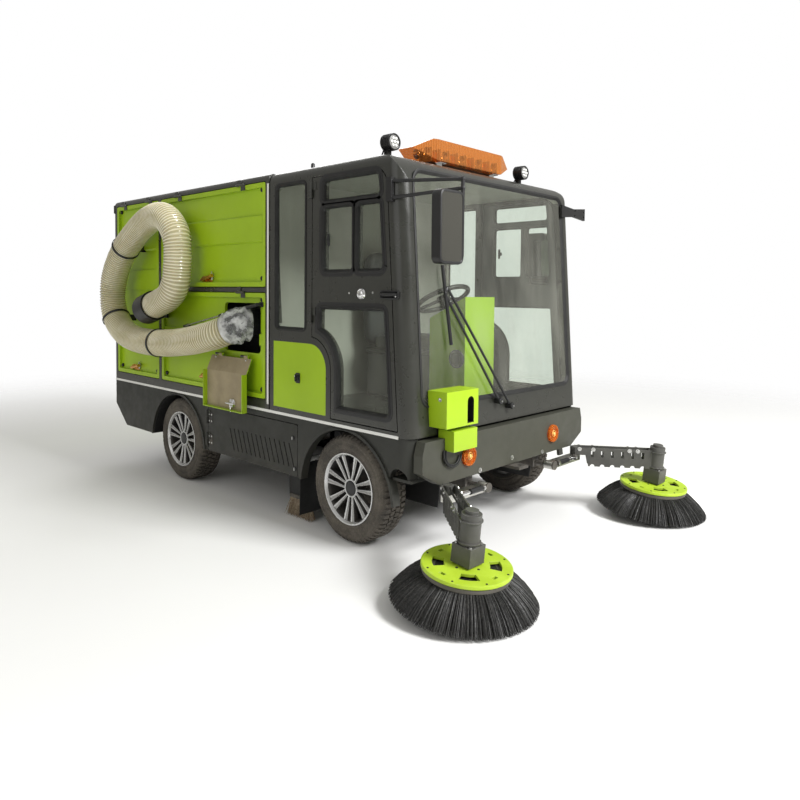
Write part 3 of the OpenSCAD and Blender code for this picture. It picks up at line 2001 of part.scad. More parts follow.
module steering_wheel() {
  color(black)
    difference() {
      translate([steer_x, (console_y0 + console_y1) / 2, steer_z])
        rotate([0, -steer_lean, 0]) {
          rotate_extrude()
            translate([steer_r - steer_tube, 0])
              circle(steer_tube, $fn = rods_fn);
          cylinder(h = 2 * steer_tube, r = steer_hub, center = true);
          for (turn = [90, 210, 330])
            rotate(turn)
              translate([0, -steer_spoke / 2, -steer_tube / 2])
                cube([steer_r - steer_tube, steer_spoke, steer_tube]);
          translate([0, 0, -steer_column])
            cylinder(h = steer_column, r = steer_column_r);
        }
      between(console_y0, console_y1)
        console_outline(seat_gap);
    }
}

module tail_lamps() {
  color(red)
    both()
      block([rear_x - tail_out, tail_y0, tail_low], [rear_x, tail_y1, tail_high]);
}

chassis();
battery();
axles();
skirts();
vent_door_right();
vent_door_left();
bumper();
stripes();
cab_shell();
quarter_panels();
cab_glass();
door_right();
door_left();
door_glass_right();
door_glass_left();
body_shell();
hatches_right();
hatch_left_rear();
hatch_left_upper();
hatch_left_lower();
tailgate();
amber_lenses();
roof_fittings();
knuckle_right();
knuckle_left();
tyre_front_right();
tyre_front_left();
tyre_rear_right();
tyre_rear_left();
rim_front_right();
rim_front_left();
rim_rear_right();
rim_rear_left();
lift_arm_right();
lift_arm_left();
swing_arm_right();
swing_arm_left();
brush_disc_right();
brush_disc_left();
bristles_right();
bristles_left();
roller();
roller_housing();
suction_hose();
hose_fittings();
port_flap();
tool_holders();
mirror_right();
mirror_left();
wiper();
seat();
console();
steering_wheel();
tail_lamps();
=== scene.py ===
"""Looks of a compact street sweeper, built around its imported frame. Lengths are in metres."""
import json
import math

import bmesh
import bpy
import numpy as np
from mathutils import Matrix, Vector
from mathutils.bvhtree import BVHTree


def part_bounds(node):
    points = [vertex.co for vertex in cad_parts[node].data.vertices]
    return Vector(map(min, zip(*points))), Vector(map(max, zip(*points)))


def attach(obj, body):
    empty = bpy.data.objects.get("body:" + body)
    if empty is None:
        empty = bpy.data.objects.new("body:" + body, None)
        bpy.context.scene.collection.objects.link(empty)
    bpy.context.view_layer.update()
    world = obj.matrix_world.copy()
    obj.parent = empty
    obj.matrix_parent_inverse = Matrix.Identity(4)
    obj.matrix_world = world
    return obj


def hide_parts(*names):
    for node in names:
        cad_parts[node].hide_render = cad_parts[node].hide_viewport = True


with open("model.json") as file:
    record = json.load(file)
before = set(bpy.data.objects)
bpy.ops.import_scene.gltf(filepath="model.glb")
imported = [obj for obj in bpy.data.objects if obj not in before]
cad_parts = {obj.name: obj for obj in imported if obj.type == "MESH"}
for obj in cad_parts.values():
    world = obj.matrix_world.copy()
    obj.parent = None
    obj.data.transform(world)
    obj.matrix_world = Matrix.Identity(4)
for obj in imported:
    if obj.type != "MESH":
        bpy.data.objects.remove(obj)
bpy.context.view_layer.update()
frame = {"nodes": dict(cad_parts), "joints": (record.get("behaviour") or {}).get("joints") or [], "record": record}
nodes = frame["nodes"]
joints = {j["name"]: j for j in frame["joints"]}
chance = np.random.default_rng(7)

# Places that the frame gives
bumper_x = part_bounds("bumper")[1].x
rear_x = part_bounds("skirts")[0].x
side_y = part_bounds("quarter_panels")[1].y
roof_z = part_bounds("cab_shell")[1].z
belt_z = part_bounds("cab_shell")[0].z
SIDES = {"right": -1, "left": 1}
BOTH = (-1, 1)
WHEELS = [(end, side) for end in ("front", "rear") for side in SIDES]

# Camera of the photograph: place from the middle of the bumper face, angles in degrees, focal length and
# optical centre in pixels of the 800 pixel frame
CAMERA_PLACE = (2.239, -3.234, 1.365)
CAMERA_YAW, CAMERA_PITCH, CAMERA_ROLL = 132.546, -2.403, 0.629
FRAME_PX, FOCAL_PX, CENTRE_PX = 800, 684.6, (421.0, 322.0)
SENSOR_MM = 36


def make_camera():
    yaw, pitch, roll = (math.radians(a) for a in (CAMERA_YAW, CAMERA_PITCH, CAMERA_ROLL))
    ahead = Vector((math.cos(pitch) * math.cos(yaw), math.cos(pitch) * math.sin(yaw), math.sin(pitch)))
    level = Vector((math.sin(yaw), -math.cos(yaw), 0))
    upright = level.cross(ahead)
    right = level * math.cos(roll) + upright * math.sin(roll)
    up = upright * math.cos(roll) - level * math.sin(roll)
    data = bpy.data.cameras.new("camera")
    data.sensor_width = SENSOR_MM
    data.lens = SENSOR_MM * FOCAL_PX / FRAME_PX
    data.shift_x = (FRAME_PX / 2 - CENTRE_PX[0]) / FRAME_PX
    data.shift_y = (CENTRE_PX[1] - FRAME_PX / 2) / FRAME_PX
    camera = bpy.data.objects.new("camera", data)
    place = Vector(CAMERA_PLACE) + Vector((bumper_x, 0, 0))
    camera.matrix_world = Matrix.Translation(place) @ Matrix((right, up, -ahead)).transposed().to_4x4()
    bpy.context.scene.collection.objects.link(camera)
    bpy.context.scene.camera = camera


# Soft boxes: place, target, size and power
LAMPS = {
    "key": ((8.5, 1.0, 6.5), (0.3, 0.0, 0.9), 3.2, 1250),
    "fill": ((1.5, -8.5, 4.5), (0.0, 0.0, 1.0), 6.0, 90),
    "back": ((-7.0, 5.0, 6.0), (0.0, 0.0, 1.0), 5.0, 260),
}
FLOOR_HALF, FLOOR_NEAR, FLOOR_FAR = 60, 3.2, 8.5
WORLD_LOW, WORLD_HIGH = (0.74, 0.72, 0.66, 1), (1.0, 0.99, 0.96, 1)
BACKDROP = (1, 1, 1, 1)
WORLD_POWER, BACKDROP_POWER = 0.52, 1.0


def make_studio():
    """Soft boxes, a sky that the camera sees as a white backdrop, and a pale floor."""
    scene = bpy.context.scene
    for name, (place, target, size, power) in LAMPS.items():
        data = bpy.data.lights.new(name, "AREA")
        data.size = size
        data.energy = power
        lamp = bpy.data.objects.new(name, data)
        lamp.location = place
        lamp.rotation_mode = "QUATERNION"
        lamp.rotation_quaternion = (Vector(target) - Vector(place)).to_track_quat("-Z", "Y")
        scene.collection.objects.link(lamp)
    world = bpy.data.worlds.new("studio")
    world.use_nodes = True
    scene.world = world
    sky = Nodes(world.node_tree)
    background = world.node_tree.nodes["Background"]
    sight = sky.add("LightPath").outputs["Is Camera Ray"]
    height = sky.add("SeparateXYZ", {0: sky.add("TexCoord").outputs["Generated"]}).outputs["Z"]
    ramp = sky.add("ValToRGB", {0: height})
    for stop, colour in zip(ramp.color_ramp.elements, (WORLD_LOW, WORLD_HIGH)):
        stop.color = colour
    power = sky.add("MapRange", {"Value": sight, "To Min": WORLD_POWER, "To Max": BACKDROP_POWER})
    seen = sky.add("Mix", {}, data_type="RGBA")
    for socket, value in ((0, sight), (6, ramp.outputs[0]), (7, BACKDROP)):
        sky.put(seen.inputs[socket], value)
    sky.put(background.inputs["Strength"], power.outputs[0])
    sky.put(background.inputs["Color"], seen.outputs[2])
    mesh = bpy.data.meshes.new("floor")
    h = FLOOR_HALF
    mesh.from_pydata([(-h, -h, 0), (h, -h, 0), (h, h, 0), (-h, h, 0)], [], [(0, 1, 2, 3)])
    floor = bpy.data.objects.new("floor", mesh)
    mesh.materials.append(floor_finish())
    scene.collection.objects.link(floor)
    scene.view_settings.view_transform = "Standard"


# Materials
CLOUD = (0.3, 0.7)
PANE_IOR = 1.5
DUST = (0.33, 0.29, 0.23)


class Nodes:
    """Node tree with short ways to add and join nodes."""

    def __init__(self, tree):
        self.tree = tree

    def put(self, socket, value):
        if isinstance(value, bpy.types.NodeSocket):
            self.tree.links.new(value, socket)
        else:
            socket.default_value = value

    def add(self, kind, inputs=None, **settings):
        node = self.tree.nodes.new("ShaderNode" + kind)
        for key, value in settings.items():
            setattr(node, key, value)
        for key, value in (inputs or {}).items():
            self.put(node.inputs[key], value)
        return node


class Finish(Nodes):
    """One material and its nodes."""

    def __init__(self, name):
        self.material = bpy.data.materials.new(name)
        self.material.use_nodes = True
        super().__init__(self.material.node_tree)
        self.shader = self.tree.nodes["Principled BSDF"]
        self.place = self.add("TexCoord").outputs["Object"]

    def set(self, **values):
        for key, value in values.items():
            self.put(self.shader.inputs[key.replace("_", " ")], value)

    def noise(self, scale, detail=4.0, rough=0.55, stretch=None):
        at = self.add("Mapping", {0: self.place, 3: stretch}).outputs[0] if stretch else self.place
        inputs = {"Vector": at, "Scale": scale, "Detail": detail, "Roughness": rough}
        return self.add("TexNoise", inputs).outputs[0]

    def spread(self, value, low, high, to_low=0.0, to_high=1.0):
        span = {0: value, 1: low, 2: high, 3: to_low, 4: to_high}
        return self.add("MapRange", span, interpolation_type="SMOOTHSTEP").outputs[0]

    def cloud(self, scale, detail=4.0, low=0.0, high=1.0, rough=0.55):
        """Soft patches between two values."""
        return self.spread(self.noise(scale, detail, rough), *CLOUD, low, high)

    def math(self, kind, a, b=0.0):
        return self.add("Math", {0: a, 1: b}, operation=kind).outputs[0]

    def mix(self, share, a, b):
        return self.add("Mix", {0: share, 6: tint(a), 7: tint(b)}, data_type="RGBA").outputs[2]

    def axis(self, name):
        return self.add("SeparateXYZ", {0: self.place}).outputs[name]

    def ribs(self, scale, waver):
        inputs = {"Vector": self.place, "Scale": scale, "Distortion": waver}
        return self.add("TexWave", inputs, bands_direction="Y").outputs[1]

    def rounded(self, radius):
        return self.add("Bevel", {"Radius": radius}, samples=4).outputs[0]

    def relief(self, height, strength, distance=0.001, round_edge=0.0):
        inputs = {"Height": height, "Strength": strength, "Distance": distance}
        if round_edge:
            inputs["Normal"] = self.rounded(round_edge)
        return self.add("Bump", inputs).outputs[0]

    def edges(self, radius):
        """1 on outer edges that hands and stones have rubbed, 0 elsewhere."""
        flat = self.add("NewGeometry").outputs["True Normal"]
        ends = {0: self.rounded(radius), 1: flat}
        turn = self.add("VectorMath", ends, operation="DOT_PRODUCT").outputs["Value"]
        return self.spread(turn, 0.985, 0.90)

    def gloss(self):
        """Mirror share of a pane's front, 0 on its back."""
        front = self.math("SUBTRACT", 1.0, self.add("NewGeometry").outputs["Backfacing"])
        return self.math("MULTIPLY", self.add("Fresnel", {"IOR": PANE_IOR}).outputs[0], front)

    def over_clear(self, share, colour=(1, 1, 1)):
        """The material with its shader at a share over a clear tint."""
        clear = self.add("BsdfTransparent", {"Color": tint(colour)}).outputs[0]
        mixed = self.add("MixShader", {0: share, 1: clear, 2: self.shader.outputs[0]}).outputs[0]
        self.put(self.tree.nodes["Material Output"].inputs[0], mixed)
        return self.material


def tint(value):
    return value if isinstance(value, bpy.types.NodeSocket) else (*value[:3], 1)


def times(colour, share):
    return [c * share for c in colour]


def surface(name, colour, rough, metal=0.0, coat=0.0, vary=0.10, patch=2.2, grain=420.0, bump=0.05,
            dust=0.0, dust_top=1.0, worn=0.0, round_edge=0.0, specular=0.5):
    """Painted, moulded or bare surface with cloudy tone, fine grain, dust from below and rubbed edges."""
    f = Finish(name)
    tone = f.mix(f.cloud(patch, 6.0), times(colour, 1 - vary), times(colour, 1 + vary))
    shine = f.cloud(patch * 7, 4.0, rough * 0.88, min(1.0, rough * 1.14))
    if worn:
        scuff = f.math("MULTIPLY", f.edges(0.006), f.spread(f.noise(38), 0.45, 0.62, 0.0, worn))
        tone = f.mix(scuff, tone, [0.5 * c + 0.22 for c in colour])
    if dust:
        height = f.spread(f.axis("Z"), dust_top, 0.0)
        film = f.math("MULTIPLY", height, f.spread(f.noise(9, 8.0, 0.65), 0.3, 0.75, 0.25, 1.0))
        film = f.math("MULTIPLY", film, dust)
        tone = f.mix(film, tone, DUST)
        shine = f.math("ADD", shine, f.math("MULTIPLY", film, 0.5))
    f.set(Base_Color=tone, Roughness=shine, Metallic=metal, Coat_Weight=coat, Coat_Roughness=0.08)
    f.set(Specular_IOR_Level=specular)
    if bump or round_edge:
        f.set(Normal=f.relief(f.noise(grain, 2.0), bump, 0.0006, round_edge))
    return f.material


def floor_finish():
    """Pale floor that thins out into the backdrop far from the object."""
    f = Finish("floor")
    f.set(Base_Color=f.mix(f.cloud(0.4, 6.0), (0.85, 0.85, 0.84), (0.87, 0.87, 0.86)), Roughness=0.8)
    away = f.add("VectorMath", {0: f.place}, operation="LENGTH").outputs["Value"]
    return f.over_clear(f.spread(away, FLOOR_FAR, FLOOR_NEAR))


def glass_finish():
    """Tinted pane with a pale tone over the clear tint, in hazy patches that are partly dust and partly painted
    reflection, and in long upright bands of painted reflection.
    """
    f = Finish("glass")
    # Hazy patches: a dust film and painted reflection; long upright bands: painted reflection of things round the
    # vehicle
    dust_and_reflection_haze = f.spread(f.noise(3, 6.0), 0.35, 0.8, 0.006, 0.050)
    reflection_streaks = f.spread(f.noise(11, 5.0, 0.6, (1, 1, 0.12)), 0.4, 0.75, 0.0, 0.040)
    # The pale base colour is a painted reflection tone of the surroundings
    f.set(Base_Color=(0.62, 0.61, 0.54, 1), Roughness=0.03)
    return f.over_clear(f.math("ADD", f.gloss(), f.math("ADD", dust_and_reflection_haze, reflection_streaks)), (0.88, 0.91, 0.88))


def film_finish():
    """Thin crumpled wrapping film."""
    f = Finish("film")
    share = f.spread(f.noise(17, 5.0, 0.55), 0.35, 0.68, 0.10, 0.72)
    f.set(Base_Color=(0.86, 0.87, 0.86, 1), Roughness=0.08)
    f.set(Normal=f.relief(f.noise(34, 4.0, 0.6), 0.9, 0.008))
    return f.over_clear(share, (0.93, 0.94, 0.95))


def amber_finish(name, colour):
    """See-through ribbed lamp cover."""
    f = Finish(name)
    ribs = f.ribs(22.0, 0.4)
    share = f.math("ADD", f.gloss(), f.spread(ribs, 0.1, 0.9, 0.14, 0.34))
    deep = [c * k for c, k in zip(colour, (0.80, 0.56, 0.35))]
    f.set(Base_Color=tint(deep), Roughness=0.14, Coat_Weight=0.6, Normal=f.relief(ribs, 0.5, 0.004))
    f.set(Emission_Color=tint(colour), Emission_Strength=0.02)
    return f.over_clear(share, colour)


def lens_finish(name, colour, glow):
    """Solid lamp cover with ribs and cells."""
    f = Finish(name)
    cells = f.add("TexVoronoi", {"Vector": f.place, "Scale": 42.0}).outputs[0]
    tone = f.mix(f.spread(cells, 0.1, 0.7), [min(1, c) for c in times(colour, 1.25)], times(colour, 0.45))
    f.set(Base_Color=tone, Roughness=0.12, Transmission_Weight=0.35, IOR=1.45, Coat_Weight=0.6)
    f.set(Emission_Color=tone, Emission_Strength=glow, Normal=f.relief(f.ribs(26.0, 0.6), 0.35, 0.004))
    return f.material


def tyre_finish(name):
    f = Finish(name)
    specks = f.noise(140, 3.0)
    dirt = f.math("ADD", f.cloud(6, 8.0, 0.25, 0.85, 0.7), f.spread(specks, 0.45, 0.7, -0.12, 0.15))
    tone = f.mix(dirt, (0.028, 0.026, 0.024), (0.155, 0.135, 0.108))
    f.set(Base_Color=tone, Roughness=0.88, Normal=f.relief(specks, 0.25, 0.0015))
    return f.material


def hose_finish(name, light, deep, clear):
    """Glossy clear plastic, deeper in tone lower down."""
    f = Finish(name)
    low = f.spread(f.axis("Z"), 2.0, 0.8, 0.0, 0.35)
    share = f.math("ADD", f.cloud(5, 6.0, 0.0, 0.6), low)
    f.set(Base_Color=f.mix(share, light, deep), Roughness=0.26, Transmission_Weight=clear)
    f.set(Subsurface_Weight=0.25, Subsurface_Scale=0.02, Subsurface_Radius=(1.0, 0.8, 0.5))
    f.set(Coat_Weight=0.8, Coat_Roughness=0.08, Normal=f.relief(f.noise(60, 4.0), 0.08, 0.002))
    return f.material


def brushed_finish(name, colour, rough, bump=0.15):
    """Bare metal with fine turning marks."""
    f = Finish(name)
    marks = f.noise(90, 3.0, 0.6, (1, 8, 1))
    tone = f.mix(f.spread(marks, *CLOUD), times(colour, 0.86), colour)
    f.set(Base_Color=tone, Metallic=1.0, Roughness=f.cloud(14, 4.0, rough * 0.8, rough * 1.3))
    f.set(Normal=f.relief(marks, bump, 0.0004))
    return f.material


def leather_finish(name):
    f = Finish(name)
    cells = {"Vector": f.place, "Scale": 260.0}
    grain = f.add("TexVoronoi", cells, feature="DISTANCE_TO_EDGE").outputs[0]
    tone = f.mix(f.cloud(5, 6.0), (0.022, 0.022, 0.024), (0.05, 0.05, 0.052))
    f.set(Base_Color=tone, Roughness=0.5, Normal=f.relief(f.spread(grain, 0.0, 0.2), 0.3, 0.0008))
    return f.material


def bristle_finish(name, deep, light):
    f = Finish(name)
    tone = f.mix(f.spread(f.noise(130, 2.0), 0.35, 0.7), deep, light)
    f.set(Base_Color=tone, Roughness=f.cloud(60, 4.0, 0.38, 0.6), Specular_IOR_Level=0.4)
    return f.material


# Painted and moulded surfaces: colour, roughness and what surface() takes beside them
SURFACES = {
    "lime": ((0.36, 0.55, 0.010), 0.38, dict(coat=0.08, vary=0.06, bump=0.03, dust=0.25, dust_top=0.9,
                                             worn=0.3, round_edge=0.003, specular=0.35)),
    "lime_disc": ((0.42, 0.60, 0.020), 0.45, dict(patch=9, dust=0.2, dust_top=0.4, worn=0.5,
                                                  round_edge=0.002, specular=0.35)),
    "grey": ((0.030, 0.031, 0.026), 0.30, dict(coat=0.25, vary=0.12, bump=0.03, dust=0.30, dust_top=0.8,
                                               worn=0.2, round_edge=0.004)),
    "skirt": ((0.027, 0.028, 0.024), 0.48, dict(vary=0.14, dust=0.10, dust_top=0.7, worn=0.2,
                                                round_edge=0.004, specular=0.35)),
    "bumper": ((0.052, 0.053, 0.040), 0.48, dict(vary=0.07, bump=0.06, dust=0.12, dust_top=0.7, worn=0.2,
                                                 round_edge=0.005, specular=0.4)),
    "frame": ((0.018, 0.018, 0.019), 0.55, dict(vary=0.2, dust=0.6, dust_top=0.7, worn=0.3)),
    "white": ((0.82, 0.82, 0.79), 0.35, dict(vary=0.05, dust=0.2, dust_top=0.9)),
    "battery": ((0.03, 0.03, 0.033), 0.55, dict(vary=0.15, dust=0.4, dust_top=0.7)),
    "black": ((0.014, 0.014, 0.015), 0.38, dict(vary=0.2, grain=700, bump=0.12, round_edge=0.002)),
    "rubber": ((0.011, 0.011, 0.011), 0.6, dict(vary=0.25, grain=500, bump=0.1)),
    "motor": ((0.070, 0.070, 0.064), 0.5, dict(vary=0.16, patch=8, dust=0.15, dust_top=0.6, worn=0.4,
                                               round_edge=0.002, specular=0.4)),
    "holder": ((0.085, 0.080, 0.066), 0.6, dict(vary=0.14, patch=8, dust=0.2, dust_top=0.4)),
    "alloy_dark": ((0.022, 0.023, 0.025), 0.35, dict(vary=0.2, dust=0.25, dust_top=0.6)),
    "tan": ((0.33, 0.27, 0.165), 0.6, dict(vary=0.14, patch=7, bump=0.15)),
    "mirror_back": ((0.046, 0.045, 0.038), 0.20, dict(coat=0.5, bump=0.0)),
    "amber_pale": ((0.95, 0.55, 0.16), 0.2, dict(coat=0.5, bump=0.0)),
    "interior": ((0.075, 0.078, 0.08), 0.6, dict(bump=0.15)),
    "ceiling": ((0.42, 0.41, 0.37), 0.75, dict(vary=0.08, bump=0.2)),
}
# Bare metals and mirrors: colour, roughness and height of the marks
METALS = {
    "steel": ((0.62, 0.62, 0.60), 0.3),
    "alloy": ((0.66, 0.66, 0.66), 0.28, 0.08),
    "alloy_dull": ((0.36, 0.36, 0.35), 0.36, 0.10),
    "zinc": ((0.60, 0.59, 0.55), 0.34),
    "copper": ((0.85, 0.42, 0.10), 0.3),
    "mirror": ((0.80, 0.82, 0.84), 0.04, 0.0),
    "chrome": ((0.86, 0.86, 0.87), 0.09, 0.03),
    "lamp_glass": ((0.93, 0.94, 0.95), 0.14, 0.0),
}
looks = {name: surface(name, colour, rough, **more) for name, (colour, rough, more) in SURFACES.items()}
looks |= {name: brushed_finish(name, *values) for name, values in METALS.items()}
looks |= {
    "film": film_finish(),
    "glass": glass_finish(),
    "amber": amber_finish("amber", (1.0, 0.50, 0.12)),
    "amber_bar": amber_finish("amber_bar", (0.80, 0.44, 0.19)),
    "red": lens_finish("red", (0.62, 0.012, 0.012), 0.05),
    "tyre": tyre_finish("tyre"),
    "hose": hose_finish("hose", (0.62, 0.56, 0.34), (0.57, 0.50, 0.28), 0.30),
    "hose_wire": hose_finish("hose_wire", (0.82, 0.77, 0.58), (0.74, 0.67, 0.46), 0.10),
    "seat": leather_finish("seat_cover"),
    "bristle": bristle_finish("bristle", (0.010, 0.010, 0.010), (0.050, 0.049, 0.045)),
    "bristle_tan": bristle_finish("bristle_tan", (0.20, 0.15, 0.10), (0.46, 0.37, 0.26)),
}

# Which look each node of the frame takes
NODE_LOOKS = {
    "lime": ["quarter_panels", "hatches_right", "hatch_left_rear", "hatch_left_upper", "hatch_left_lower",
             "tailgate", "port_flap", "tool_holders", "console"],
    "lime_disc": ["brush_disc_right", "brush_disc_left"],
    "grey": ["cab_shell", "door_right", "door_left", "body_shell"],
    "skirt": ["skirts", "vent_door_right", "vent_door_left"],
    "bumper": ["bumper"],
    "frame": ["chassis", "axles", "knuckle_right", "knuckle_left"],
    "zinc": ["lift_arm_right", "lift_arm_left"],
    "white": ["stripes"],
    "battery": ["battery"],
    "glass": ["cab_glass", "door_glass_right", "door_glass_left"],
    "amber": ["amber_lenses"],
    "red": ["tail_lamps"],
    "motor": ["swing_arm_right", "swing_arm_left"],
    "black": ["roof_fittings", "roller_housing", "mirror_right", "mirror_left", "wiper", "steering_wheel",
              "hose_fittings"],
    "tyre": [f"tyre_{end}_{side}" for end, side in WHEELS],
    "alloy": [f"rim_{end}_{side}" for end, side in WHEELS],
    "bristle": ["bristles_right", "bristles_left", "roller"],
    "hose": ["suction_hose"],
    "seat": ["seat"],
}
for look, names in NODE_LOOKS.items():
    for name in names:
        nodes[name].data.materials.clear()
        nodes[name].data.materials.append(looks[look])


# Forms
def facing(at, out, up=(0, 0, 1)):
    """Frame at a point whose third axis looks out and whose second lies near up."""
    z = Vector(out).normalized()
    x = Vector(up).cross(z).normalized()
    return Matrix.Translation(at) @ Matrix((x, z.cross(x), z)).transposed().to_4x4()


def shift(place, x, y, z=0.0):
    return place @ Matrix.Translation((x, y, z))


def ringed(place, r, count, start=0.0, z=0.0):
    """Frames spread evenly on a circle."""
    turns = [2 * np.pi * k / count + start for k in range(count)]
    return [shift(place, r * math.cos(t), r * math.sin(t), z) for t in turns]


def moved(profile, r=0.0, z=0.0):
    """Profile of (radius, height) pairs from another origin."""
    return [(r + a, z + b) for a, b in profile]


def circle(sides):
    return 2 * np.pi * np.arange(sides) / sides


def unit(ways):
    return ways / np.linalg.norm(ways, axis=1)[:, None]


class Shape:
    """Closed forms gathered into one mesh, each face with a look."""

    def __init__(self):
        self.points, self.faces, self.looks = [], [], []

    def add(self, points, faces, look, place=None):
        base = len(self.points)
        self.points += [tuple(place @ Vector(p)) if place else tuple(p) for p in points]
        self.faces += [[base + i for i in f] for f in faces]
        self.looks += look if isinstance(look, list) else [look] * len(faces)

    def slab(self, low, high, look, edge=0.002, place=None):
        """Box with broken edges between two corners."""
        low, high = (np.minimum(low, high), np.maximum(low, high))
        mid, half = (low + high) / 2, (high - low) / 2
        cut = min(edge, *(half * 0.9))
        signs = [(a, b, c) for a in BOTH for b in BOTH for c in BOTH]
        points, spots = [], {}
        for s in signs:
            for k in range(3):
                inner = half - cut
                inner[k] = half[k]
                spots[s, k] = len(points)
                points.append(mid + inner * s)
        faces = []
        for k in range(3):
            i, j = (k + 1) % 3, (k + 2) % 3

            def corner(a, b, c):
                s = [0, 0, 0]
                s[i], s[j], s[k] = a, b, c
                return tuple(s)

            for c in BOTH:
                faces.append([spots[corner(a, b, c), k] for a, b in ((-1, -1), (1, -1), (1, 1), (-1, 1))])
            for a in BOTH:
                for b in BOTH:
                    one, two = corner(a, b, -1), corner(a, b, 1)
                    faces.append([spots[one, i], spots[two, i], spots[two, j], spots[one, j]])
        faces += [[spots[s, k] for k in range(3)] for s in signs]
        self.add(points, faces, look, place)

    def lathe(self, profile, place, look, sides=48, loop=False):
        """Turned form from (radius, height) pairs, closed on the axis or, as a loop, on itself."""
        turns = circle(sides)
        rows, points = [], []
        for r, z in profile:
            if r <= 0:
                rows.append([len(points)] * sides)
                points.append((0, 0, z))
            else:
                rows.append(list(range(len(points), len(points) + sides)))
                points += [(r * np.cos(t), r * np.sin(t), z) for t in turns]
        faces, picked = [], []
        for i in range(len(rows) if loop else len(rows) - 1):
            a, b = rows[i], rows[(i + 1) % len(rows)]
            for k in range(sides):
                n = (k + 1) % sides
                ring = list(dict.fromkeys((a[k], a[n], b[n], b[k])))
                if len(ring) > 2:
                    faces.append(ring)
                    picked.append(look[i] if isinstance(look, list) else look)
        self.add(points, faces, picked, place)

    def tube(self, path, radius, look, sides=10, place=None):
        """Round bar along a path, with one radius or one for each point."""
        path = np.array(path, float)
        ways = unit(np.gradient(path, axis=0))
        side = np.cross(ways[0], (0, 0, 1) if abs(ways[0][2]) < 0.9 else (1, 0, 0))
        points = []
        for p, w, r in zip(path, ways, np.broadcast_to(radius, len(path))):
            side = side - w * side.dot(w)
            side /= np.linalg.norm(side)
            points += [p + r * (side * np.cos(t) + np.cross(w, side) * np.sin(t)) for t in circle(sides)]
        self.add(points, sleeve(len(path), sides), look, place)

    def plate(self, outline, low, high, look, place=None, edge=0.0):
        """Flat plate from an outline, its upper rim broken by an edge."""
        outline = np.array(outline, float)
        levels = [(0.0, low), (0.0, high - edge), (edge, high)] if edge else [(0.0, low), (0.0, high)]
        points = [(x, y, z) for inset, z in levels for x, y in pulled_in(outline, inset)]
        self.add(points, sleeve(len(levels), len(outline)), look, place)

    def rim(self, loop, profile, look, place=None):
        """Profile of (inset, height) pairs carried round an outline."""
        n, rows = len(loop), len(profile)
        points = [(x, y, z) for inset, z in profile for x, y in pulled_in(np.array(loop, float), inset)]
        faces = [[i * n + k, i * n + (k + 1) % n, (i + 1) % rows * n + (k + 1) % n, (i + 1) % rows * n + k]
                 for i in range(rows) for k in range(n)]
        self.add(points, faces, look, place)

    def strands(self, paths, radii, look, place=None, sides=3):
        """Many thin tapered bristles: paths is strands by points by 3, radii one for each point."""
        count, steps = paths.shape[:2]
        way = unit(paths[:, -1] - paths[:, 0])
        one = unit(np.cross(way, chance.normal(size=way.shape)))
        two = np.cross(way, one)
        turns = circle(sides)[None, :, None]
        across = one[:, None] * np.cos(turns) + two[:, None] * np.sin(turns)
        points = paths[:, :, None] + across[:, None] * np.array(radii)[None, :, None, None]
        faces = sleeve(steps, sides)
        whole = [[s * steps * sides + i for i in f] for s in range(count) for f in faces]
        self.add(points.reshape(-1, 3), whole, look, place)


def sleeve(rows, sides):
    """Faces of a closed tube of rings."""
    faces = []
    for i in range(rows - 1):
        a, b = i * sides, (i + 1) * sides
        faces += [[a + k, a + (k + 1) % sides, b + (k + 1) % sides, b + k] for k in range(sides)]
    return faces + [list(range(sides))[::-1], list(range((rows - 1) * sides, rows * sides))]


def pulled_in(outline, inset):
    """Counter-clockwise outline moved inward."""
    if not inset:
        return outline
    before = outline - np.roll(outline, 1, axis=0)
    after = np.roll(outline, -1, axis=0) - outline
    normals = [unit(np.stack((-e[:, 1], e[:, 0]), axis=1)) for e in (before, after)]
    lean = normals[0] + normals[1]
    lean /= np.maximum((lean * normals[0]).sum(axis=1), 0.3)[:, None]
    return outline + lean * inset


def soft_box(x0, x1, y0, y1, r, steps=5):
    """Rectangle outline with round corners."""
    turns = np.linspace(0, np.pi / 2, steps)
    corners = ((x1 - r, y0 + r, -np.pi / 2), (x1 - r, y1 - r, 0), (x0 + r, y1 - r, np.pi / 2),
               (x0 + r, y0 + r, np.pi))
    return [(cx + r * np.cos(a + t), cy + r * np.sin(a + t)) for cx, cy, a in corners for t in turns]


def soft_tile(wide, tall, r):
    """Soft box about its middle, from its half sizes."""
    return soft_box(-wide, wide, -tall, tall, r)


def bend(knots, steps=24):
    """Smooth line between the outer knots, drawn towards the inner ones."""
    n = len(knots) - 1
    knots = np.array(knots)
    return [sum(math.comb(n, i) * t ** i * (1 - t) ** (n - i) * knots[i] for i in range(n + 1))
            for t in np.linspace(0, 1, steps)]


SMOOTH_ANGLE = math.radians(38)


def piece(shape, name, body, replaces=()):
    """Object of a shape that rides on a body."""
    mesh = bpy.data.meshes.new(name)
    mesh.from_pydata(shape.points, [], shape.faces)
    used = list(dict.fromkeys(shape.looks))
    for look in used:
        mesh.materials.append(looks[look])
    mesh.polygons.foreach_set("material_index", [used.index(look) for look in shape.looks])
    bm = bmesh.new()
    bm.from_mesh(mesh)
    bmesh.ops.recalc_face_normals(bm, faces=bm.faces)
    bm.to_mesh(mesh)
    bm.free()
    mesh.shade_smooth()
    mesh.set_sharp_from_angle(angle=SMOOTH_ANGLE)
    obj = bpy.data.objects.new(name, mesh)
    bpy.context.scene.collection.objects.link(obj)
    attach(obj, body)
    if replaces:
        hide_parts(*replaces)
    return obj


def paint(node, look, picks):
    """Gives the faces of a CAD node whose middle and normal are picked another look."""
    mesh = nodes[node].data
    mesh.materials.append(looks[look])
    last = len(mesh.materials) - 1
    for face in mesh.polygons:
        if picks(face.center, face.normal):
            face.material_index = last


